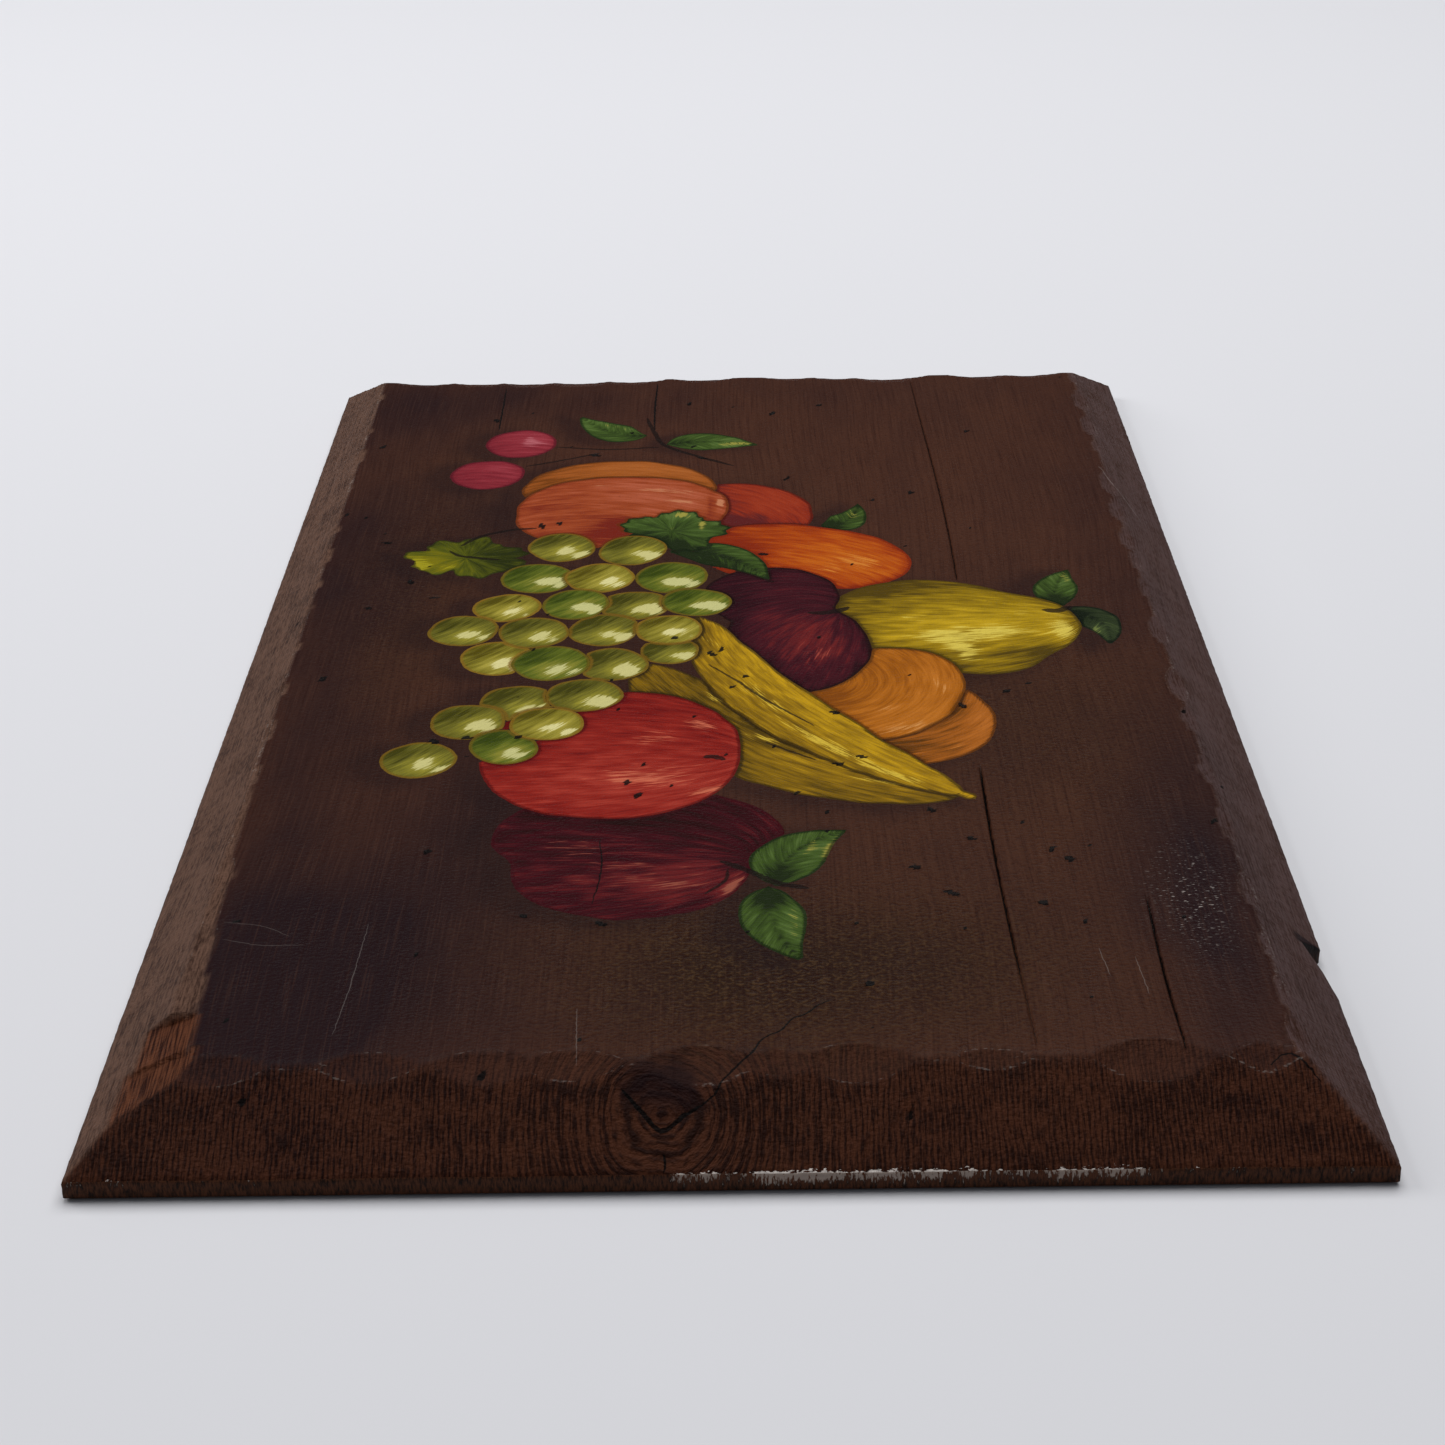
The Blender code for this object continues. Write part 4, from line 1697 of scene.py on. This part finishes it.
        # Painted sheen: all of the left bevel and part of the right one take the lighter colours, cooler on
        # the right
        right_sheen_share = add(tree, "Math", right, 0.6, operation="MULTIPLY")
        side = add(tree, "Math", left, right_sheen_share, operation="MAXIMUM")
        streaky = add(tree, "Math", fine, 0.9, dashes, operation="MULTIPLY_ADD")
        streaky = add(tree, "Math", blotch, 0.5, streaky, operation="MULTIPLY_ADD")
        planed = add(tree, "Mix", {0: right, 6: self.bevel, 7: self.bevel_cool_reflection}, **COLOURS)
        raw = self.field(tree, "faces")[1]
        fibres = self.grains(tree, grain, (0.55, 12, 1), 2.0)
        for cover, noise, low, high, pale, dark in (
            (end, ribbed, 0.55, 0.95, self.end_light, self.end_dark),
            (side, streaky, 1.0, 1.5, planed, self.bevel_dark),
            (raw, fibres, 0.36, 0.66, self.raw_light, self.raw_dark),
        ):
            share = add(tree, "MapRange", noise, low, high, **EASED)
            tint = add(tree, "Mix", {0: share, 6: pale, 7: dark}, **COLOURS)
            colour = add(tree, "Mix", {0: cover, 6: colour, 7: tint}, **COLOURS)
        # The knot's dark stain, and painted shade on the broken notch's far wall
        return add(tree, "Mix", {0: knot, 6: colour, 7: self.knot}, **COLOURS)

    def height(self, tree: Tree, plan: Socket) -> Socket:
        """The height of the fine relief in metres: wrinkled varnish, ribs on end grain, and strokes.

        It is worked out apart from the colour, from few fields, because a bump reads its height thrice.

        Args:
            tree: The node tree.
            plan: Places in millimetres.
        Returns:
            Heights.
        """
        ring, run, _ = self.field(tree, "grain")
        end, _, _ = self.field(tree, "bevels")
        along, across, share = self.field(tree, "paint_strokes")
        grain = add(tree, "CombineXYZ", ring, run)
        fine = self.grains(tree, grain, (self.streak_width, self.streak_length, 1), 3.0)
        rings = add(tree, "Attribute", output="Vector", attribute_name="rings")
        dashes = self.grains(tree, rings, self.dash_size, 2.0)
        leather = self.grains(tree, plan, self.leather_size, 1.5)
        way = add(tree, "CombineXYZ", along, across)
        bristles = self.grains(tree, way, (self.bristle_length, self.bristle, 1), 1.0)
        tall = add(tree, "Math", fine, self.streak_relief * MM, operation="MULTIPLY")
        tall = add(tree, "Math", leather, self.leather_relief * MM, tall, operation="MULTIPLY_ADD")
        ribbed = add(tree, "Math", dashes, end, operation="MULTIPLY")
        tall = add(tree, "Math", ribbed, self.rib_relief * MM, tall, operation="MULTIPLY_ADD")
        brushed = add(tree, "Math", bristles, share, operation="MULTIPLY")
        return add(tree, "Math", brushed, self.bristle_relief * MM, tall, operation="MULTIPLY_ADD")

    def paint(self, tree: Tree, passes: int, plan: Socket) -> tuple[Socket, Socket]:
        """The painting's colour and its share at each place.

        The form with the greatest signed distance shows, and the paint ends where that distance, shaken
        a little, falls to zero. The palette's number picks one column from five colour ramps. Strokes are
        noise drawn out along the brush's way: they shift the tone between dark, middle and light, and
        leave thick light paint where their noise and the amount of it together pass a limit.

        Args:
            tree: The node tree.
            passes: How many passes of bodies there are.
            plan: Places in millimetres.
        Returns:
            The colour and the share.
        """
        place: Any = (FAR, 0.0, 0.0)
        kind: Any = (0.0, 0.0, 0.0)
        best: Any = FAR
        for i in range(passes):
            over = add(tree, "Attribute", output="Vector", attribute_name=f"paint_place_{i}")
            what = add(tree, "Attribute", output="Vector", attribute_name=f"paint_tone_{i}")
            distance = add(tree, "SeparateXYZ", over)
            shown = add(tree, "Math", distance, best, operation="GREATER_THAN")
            best = add(tree, "Math", distance, best, operation="MAXIMUM")
            place = add(tree, "Mix", {0: shown, 4: place, 5: over}, output=1, data_type="VECTOR")
            kind = add(tree, "Mix", {0: shown, 4: kind, 5: what}, output=1, data_type="VECTOR")
        distance, along, across = add(tree, "SeparateXYZ", place).node.outputs
        number, tone, light = add(tree, "SeparateXYZ", kind).node.outputs
        shake = self.grains(tree, plan, (2.4, 2.4, 2.4), 2.0)
        shaken = add(tree, "Math", shake, self.edge_wander, distance, operation="MULTIPLY_ADD")
        half = 0.5 * self.edge_wander
        shown = add(tree, "MapRange", shaken, half - self.edge_soft, half + self.edge_soft, **EASED)

        lift = add(tree, "Math", number, 7.3, operation="MULTIPLY")
        way = add(tree, "CombineXYZ", along, across, lift)
        bristles = self.grains(tree, way, (self.bristle_length, self.bristle, 1), 2.0)
        strokes = self.grains(tree, way, (self.stroke_length, self.stroke, 1), 1.0)
        lively = add(tree, "Mix", {0: 0.55, 2: bristles, 3: strokes})
        swing = add(tree, "Math", lively, self.swing, -self.swing / 2, operation="MULTIPLY_ADD")
        tone = add(tree, "Math", tone, swing, operation="ADD")
        share = add(tree, "Math", number, 1 / len(Palette), 0.5 / len(Palette), operation="MULTIPLY_ADD")
        ramps = []
        for part in range(5):
            stops = tuple((i / len(Palette), palette.value[part]) for i, palette in enumerate(Palette))
            ramp = add(tree, "ValToRGB", share, stops=stops)
            ramp.node.color_ramp.interpolation = "CONSTANT"
            ramps.append(ramp)
        dark, middle, pale, thick, outline = ramps
        share = add(tree, "MapRange", tone, 0.0, 0.5)
        colour = add(tree, "Mix", {0: share, 6: dark, 7: middle}, **COLOURS)
        share = add(tree, "MapRange", tone, 0.5, 1.0)
        colour = add(tree, "Mix", {0: share, 6: colour, 7: pale}, **COLOURS)
        thin = add(tree, "Mix", {0: 0.3, 2: bristles, 3: strokes})
        heavy = add(tree, "Math", thin, light, operation="ADD")
        share = add(tree, "MapRange", heavy, 0.84, 0.97, 0.0, 0.9, **EASED)
        colour = add(tree, "Mix", {0: share, 6: colour, 7: thick}, **COLOURS)
        rim = add(tree, "Math", bristles, 1.2, distance, operation="MULTIPLY_ADD")
        share = add(tree, "MapRange", rim, 1.9, 1.1, 0.0, 0.8, **EASED)
        return add(tree, "Mix", {0: share, 6: colour, 7: outline}, **COLOURS), shown

    def wear_and_glints(self, tree: Tree, plan: Socket, shake: Socket) -> Socket:
        """Whitish share: worn specks on the rim's edge, scratches, and painted highlights and glints.

        Args:
            tree: The node tree.
            plan: Places in millimetres.
            shake: Noise that shakes the scratches.
        Returns:
            Shares from 0 to 1.
        """
        rub, glint_patch_share, _ = self.field(tree, "wear_glints_and_shade")
        chips = self.grains(tree, plan, (1.5, 0.7, 0.7), 3.0)
        chipped = add(tree, "Math", chips, rub, operation="ADD")
        chipped = add(tree, "MapRange", chipped, 1.0, 1.06, 0.0, 0.95, **EASED)
        # Painted glints: fine whitish specks over one patch of crazed varnish
        glint_noise = self.grains(tree, plan, (1.5, 0.45, 0.5), 1.0)
        glint_specks = add(tree, "MapRange", glint_noise, 0.63, 0.76, 0.0, 0.34, **EASED)
        glints = add(tree, "Math", glint_specks, glint_patch_share, operation="MULTIPLY")
        scratch = self.line(tree, "scratches", shake, 0.1)
        scratched = add(tree, "Math", scratch, 0.1, operation="MULTIPLY")
        # Painted highlights along the facets' edges, broken into patches
        _, offset, width = self.field(tree, "marks")
        arris = self.thin_line(tree, offset, width, shake, 0.22)
        broken = add(tree, "MapRange", chips, 0.47, 0.68, 0.0, 0.13, **EASED)
        edge_glint = add(tree, "Math", arris, broken, operation="MULTIPLY")
        scratched = add(tree, "Math", scratched, edge_glint, operation="MAXIMUM")
        worn = add(tree, "Math", glints, scratched, operation="MAXIMUM")
        return add(tree, "Math", worn, chipped, operation="MAXIMUM")

    def build(self, passes: int, lines: int) -> bpy.types.Material:
        """Makes the material.

        Args:
            passes: How many passes of painted bodies the mesh has.
            lines: How many passes of painted lines it has.
        Returns:
            The material.
        """
        material, tree = blank_material("stained_pine_painted_in_oils")
        place = add(tree, "TexCoord", output="Object")
        plan = add(tree, "VectorMath", place, (1 / MM,) * 3, operation="MULTIPLY")
        colour = self.wood(tree, plan)
        shade = self.field(tree, "paint_shade")[0]
        smudge = self.grains(tree, plan, (7, 9, 7), 2.0)
        smudged = add(tree, "Math", smudge, 0.5, shade, operation="MULTIPLY_ADD")
        glaze = add(tree, "MapRange", smudged, 0.5, 1.35, 0.0, 0.54)
        colour = add(tree, "Mix", {0: glaze, 6: colour, 7: self.knot}, **COLOURS)
        painted, shown = self.paint(tree, passes, plan)
        colour = add(tree, "Mix", {0: shown, 6: colour, 7: painted}, **COLOURS)
        wander = self.grains(tree, plan, (2.2, 2.2, 2.2), 2.0)
        shake = add(tree, "Math", wander, 0.8, -0.4, operation="MULTIPLY_ADD")
        for i in range(lines):
            line = self.line(tree, f"paint_lines_{i}", shake, 0.22)
            inked = add(tree, "Math", line, 0.85, operation="MULTIPLY")
            colour = add(tree, "Mix", {0: inked, 6: colour, 7: Palette.TWIG.value[1]}, **COLOURS)
        # Near black in the dents' dark stain, and painted shade inside the cracks and checks
        pit = self.field(tree, "marks")[0]
        pit = add(tree, "Math", shake, 0.9, pit, operation="MULTIPLY_ADD")
        pitted = add(tree, "MapRange", pit, 0.14, 0.34, **EASED)
        marks = add(tree, "Math", pitted, self.line(tree, "cracks", shake, 0.13), operation="MAXIMUM")
        marked = add(tree, "Math", marks, 0.95, operation="MULTIPLY")
        colour = add(tree, "Mix", {0: marked, 6: colour, 7: self.crack}, **COLOURS)
        # Worn places, painted highlights on the crests and painted glints, all whitish
        worn = self.wear_and_glints(tree, plan, shake)
        colour = add(tree, "Mix", {0: worn, 6: colour, 7: self.worn}, **COLOURS)
        bump = add(tree, "Bump", {"Height": self.height(tree, plan), "Distance": 1.0, "Strength": 1.0})
        patchy = self.grains(tree, plan, (9, 30, 9), 3.0)
        dull = add(tree, "MapRange", patchy, 0.3, 0.7, self.roughness - 0.05, self.roughness + 0.1)
        flat = self.field(tree, "faces")[0]
        dull = add(tree, "Mix", {0: flat, 2: self.bevel_roughness, 3: dull})
        shader = add(tree, "BsdfPrincipled", {
            "Base Color": colour, "Roughness": dull, "IOR": self.ior, "Normal": bump,
            "Specular IOR Level": self.specular,
        })
        add(tree, "OutputMaterial", shader)
        return material


@dataclass(frozen=True)
class SawnPine:
    """Sawn, stained pine for the rim and back: rough grain, paler where worn, and painted shade in the
    notch.
    """

    name: str
    dark: str
    light: str
    size: Triple
    relief: float
    worn: str = "#b8a89c"
    # Near black painted shade on the broken notch's far wall
    hole: str = "#050303"
    roughness: float = 0.6
    specular: float = 0.15

    def build(self) -> bpy.types.Material:
        """Makes the material.

        Returns:
            The material.
        """
        material, tree = blank_material(self.name)
        place = add(tree, "TexCoord", output="Object")
        finer = tuple(1 / (s * MM) for s in self.size)
        scaled = add(tree, "VectorMath", place, finer, operation="MULTIPLY")
        grain = add(tree, "TexNoise", {"Vector": scaled, "Scale": 1.0, "Detail": 4.0, "Roughness": 0.6})
        share = add(tree, "MapRange", grain, 0.35, 0.68, **EASED)
        colour = add(tree, "Mix", {0: share, 6: self.light, 7: self.dark}, **COLOURS)
        wear_glints_and_shade = add(tree, "Attribute", output="Vector", attribute_name="wear_glints_and_shade")
        rub, _, hole = add(tree, "SeparateXYZ", wear_glints_and_shade).node.outputs
        # Painted shade on the broken notch's far wall
        colour = add(tree, "Mix", {0: hole, 6: colour, 7: self.hole}, **COLOURS)
        chipped = add(tree, "Math", grain, rub, operation="ADD")
        chipped = add(tree, "MapRange", chipped, 0.94, 1.06, 0.0, 0.7, **EASED)
        colour = add(tree, "Mix", {0: chipped, 6: colour, 7: self.worn}, **COLOURS)
        height = add(tree, "Math", grain, self.relief * MM, operation="MULTIPLY")
        bump = add(tree, "Bump", {"Height": height, "Distance": 1.0, "Strength": 1.0})
        shader = add(tree, "BsdfPrincipled", {
            "Base Color": colour, "Roughness": self.roughness, "IOR": 1.45, "Normal": bump,
            "Specular IOR Level": self.specular,
        })
        add(tree, "OutputMaterial", shader)
        return material


RIM_WOOD = SawnPine("sawn_pine_rim", "#1a0c06", "#54301d", (0.6, 0.8, 2.4), 0.3)
BACK_WOOD = SawnPine("planed_pine_back", "#2a1c14", "#6a4c34", (2.0, 70, 5), 0.12)


@dataclass(frozen=True)
class Ageing:
    """Where the stain lies dark or olive, where the board is worn, and where shade and glints are painted.
    """

    board: Board

    dark: tuple[Touch, ...] = (
        Touch(-97, -188, 43, 60, 1.0),
        Touch(-118, 20, 22, 170, 0.6),
        Touch(118, -150, 22, 70, 0.75),
        Touch(-66, -112, 22, 44, 0.42),
        Touch(-82, 92, 14, 24, 0.35),
        Touch(124, 70, 14, 130, 0.3),
        Touch(-90, 200, 70, 30, 0.5),
        Touch(60, 205, 60, 20, 0.2),
    )
    olive: tuple[Touch, ...] = (
        Touch(0, -186, 46, 34, 0.95),
        Touch(-96, 30, 22, 90, 0.35),
        Touch(52, -186, 40, 34, 0.4),
        Touch(80, -60, 40, 70, 0.35),
    )
    ring_reach: float = 42.0
    ring_hole: float = 12.0
    heart: float = 0.4
    knot_patch: Touch = Touch(-14.5, -226.5, 9.5, 7.0, 1.3)
    # A patch of painted glints, where the varnish is crazed
    glint_patch: Touch = Touch(114, -155, 9, 24, 1.2)
    notch_shade_back: float = 0.9
    notch_shade_reach: float = 8.0

    def spread(self, top: Surface) -> None:
        """Keeps the fields the wood's material reads: grain, rings, ground, worn rim, painted glints and
        shade.

        On the end grain the ring coordinate is the distance from the knot near it, drawn closer in its
        heart, and the sideways distance far from it. The other coordinate is the arc length round the knot
        near it, and the distance along the board far from it.

        Args:
            top: The board's surface.
        """
        x, y, board = top.x, top.y, self.board
        dx, dy = x - board.knot[0], y - board.knot[1]
        near = np.exp(-((dx / self.ring_reach) ** 2)) * ease(70, 35, dy)
        ring = np.hypot(dx, dy * near)
        hole = self.ring_hole * near
        ring = np.maximum(ring, hole - self.heart * (hole - ring)) + 0.4 * smooth_noise(x / 6, y / 9, 32)
        round_it = dy + near * (np.arctan2(dy, np.abs(dx)) * np.hypot(dx, dy) - dy)
        drawn = 3.0 * smooth_noise(x / 60, y / 90, 31) + 0.5 * smooth_noise(x / 9, y / 50, 32)
        blot = self.knot_patch.at(x, y) + 0.25 * smooth_noise(x / 3, y / 3, 33)
        # Painted shade on the broken notch's far wall: the knot's colour on the top, near black on the rim
        broken = -board.length / 2 + board.notch_from_front
        hole = ease(2.4, 1.6, np.abs(y - broken + self.notch_shade_back))
        hole = hole * ease(self.notch_shade_reach, self.notch_shade_reach - 1.5, board.width / 2 - x)
        stained = np.maximum(0.8 * ease(0.2, 1.1, blot), 0.9 * hole)
        top.keep("grain", x + drawn, y + 6 * smooth_noise(x / 7, y / 40, 34), stained)
        top.keep("rings", ring, round_it, near)

        drift = 6 * smooth_noise(x / 20, y / 34, 35)
        dark = np.sum([touch.at(x + drift, y + drift) for touch in self.dark], axis=0)
        olive = np.sum([touch.at(x + drift, y) for touch in self.olive], axis=0)
        top.keep("ground", np.clip(dark, 0, 1), np.clip(olive, 0, 1))

        end = board.length / 2
        rim = ease(2.2, 0.8, y + end)
        heavy = ease(-17, -10, x) * (0.62 + 0.38 * ease(98, 88, x)) * ease(146, 120, x)
        patches = 0.84 + 0.2 * smooth_noise(x / 4, y / 30, 36)
        light = 0.42 * ease(0.25, 0.6, smooth_noise(x / 5, y / 9, 37))
        rub = rim * np.maximum(0.64 * heavy, light) * patches
        # The rim's worn places, the patch of painted glints, and the notch's painted shade
        top.keep("wear_glints_and_shade", rub, self.glint_patch.at(x, y), hole)


# The stage


@dataclass(frozen=True)
class Studio:
    """The pale floor and the soft lights over it, in metres."""

    floor_size: float = 9.0
    floor_colour: str = "#dcdce0"
    gap: float = 0.0004
    sky: float = 0.12

    def floor(self) -> bpy.types.Object:
        """Makes the floor, a hair under the board's back.

        Returns:
            The floor's object.
        """
        half, low = self.floor_size / 2, -self.gap
        mesh = bpy.data.meshes.new("floor")
        corners = [(-half, -half, low), (half, -half, low), (half, half, low), (-half, half, low)]
        mesh.from_pydata(corners, [], [(0, 1, 2, 3)])
        material, tree = blank_material("matt_paper_floor")
        shader = add(tree, "BsdfPrincipled", {"Base Color": self.floor_colour, "Roughness": 0.7})
        add(tree, "OutputMaterial", shader)
        mesh.materials.append(material)
        return put("floor", mesh)

    def lamp(self, name: str, place: Triple, size: float, power: float) -> None:
        """Adds a square soft light that faces the board.

        Args:
            name: The light's name.
            place: Where it is.
            size: Its side.
            power: Its power in watts.
        """
        light = bpy.data.lights.new(name, "AREA")
        light.shape = "SQUARE"
        light.size = size
        light.energy = power
        back = np.array(place) / np.linalg.norm(place)
        side = np.cross((0.0, 1.0, 0.0), back)
        side = side / np.linalg.norm(side)
        put(name, light).matrix_world = axes_matrix(side, np.cross(back, side), back, place)

    def light(self) -> None:
        """Lights the stage: a broad lamp overhead, one from the left, and an even sky."""
        self.lamp("overhead_softbox", (0.2, 0.9, 2.3), 2.2, 59)
        self.lamp("left_softbox", (-1.8, 0.7, 1.3), 1.3, 19)
        world = bpy.data.worlds.new("studio")
        bpy.context.scene.world = world
        world.use_nodes = True
        background = world.node_tree.nodes["Background"]
        background.inputs["Color"].default_value = (*linear("#e6ebf4")[:3], 1.0)
        background.inputs["Strength"].default_value = self.sky
        bpy.context.scene.view_settings.view_transform = "Standard"


@dataclass(frozen=True)
class Viewpoint:
    """The camera, fitted to the board's corners: metres, degrees, and a focal length in pixels."""

    place: Triple = (0.0048, -0.7046, 0.3536)
    pitch: float = 27.402
    yaw: float = -0.568
    roll: float = -1.059
    focal: float = 2615.1
    sensor: float = 36.0

    def build(self) -> None:
        """Makes the camera: it looks along yaw and down by the pitch, and is then rolled about its axis."""
        camera = bpy.data.cameras.new("camera")
        camera.sensor_width = self.sensor
        camera.lens = self.focal / PIXELS * self.sensor
        camera.clip_start = 0.01
        pitch, yaw, roll = (math.radians(a) for a in (self.pitch, self.yaw, self.roll))
        forward = np.array([math.sin(yaw), math.cos(yaw), 0.0])
        ahead = forward * math.cos(pitch) + np.array([0.0, 0.0, -math.sin(pitch)])
        level = np.array([math.cos(yaw), -math.sin(yaw), 0.0])
        upright = np.cross(level, ahead)
        side = math.cos(roll) * level + math.sin(roll) * upright
        up = math.cos(roll) * upright - math.sin(roll) * level
        holder = put("camera", camera)
        holder.matrix_world = axes_matrix(side, up, -ahead, self.place)
        bpy.context.scene.camera = holder


def main() -> None:
    """Builds the board, paints it, and sets the stage."""
    low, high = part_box("board")
    board = Board(width=(high.x - low.x) / MM, length=(high.y - low.y) / MM, top=(high.z - low.z) / MM)
    top = board.shape(Knocks().dents(board), CRACKS)
    top.lines("scratches", SCRATCHES)
    Ageing(board).spread(top)
    forms = (*FAR_FRUIT, *RIGHT_FRUIT, *BANANAS, *APPLES, *VINE_LEAVES, *GRAPES.grapes())
    passes, lines = StillLife(forms, PAINTED_LINES).lay(top)
    log.info("painting: %d passes of bodies, %d of lines", passes, lines)
    piece = board.build(top)
    for finish in (StainedPine().build(passes, lines), RIM_WOOD.build(), BACK_WOOD.build()):
        piece.data.materials.append(finish)
    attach(piece, "root")
    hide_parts("board")
    log.info("%s: %d faces", piece.name, len(piece.data.polygons))
    studio = Studio()
    studio.floor()
    studio.light()
    Viewpoint().build()


if __name__ == "__main__":
    logging.basicConfig(level=logging.INFO, format="%(name)s: %(message)s")
    main()
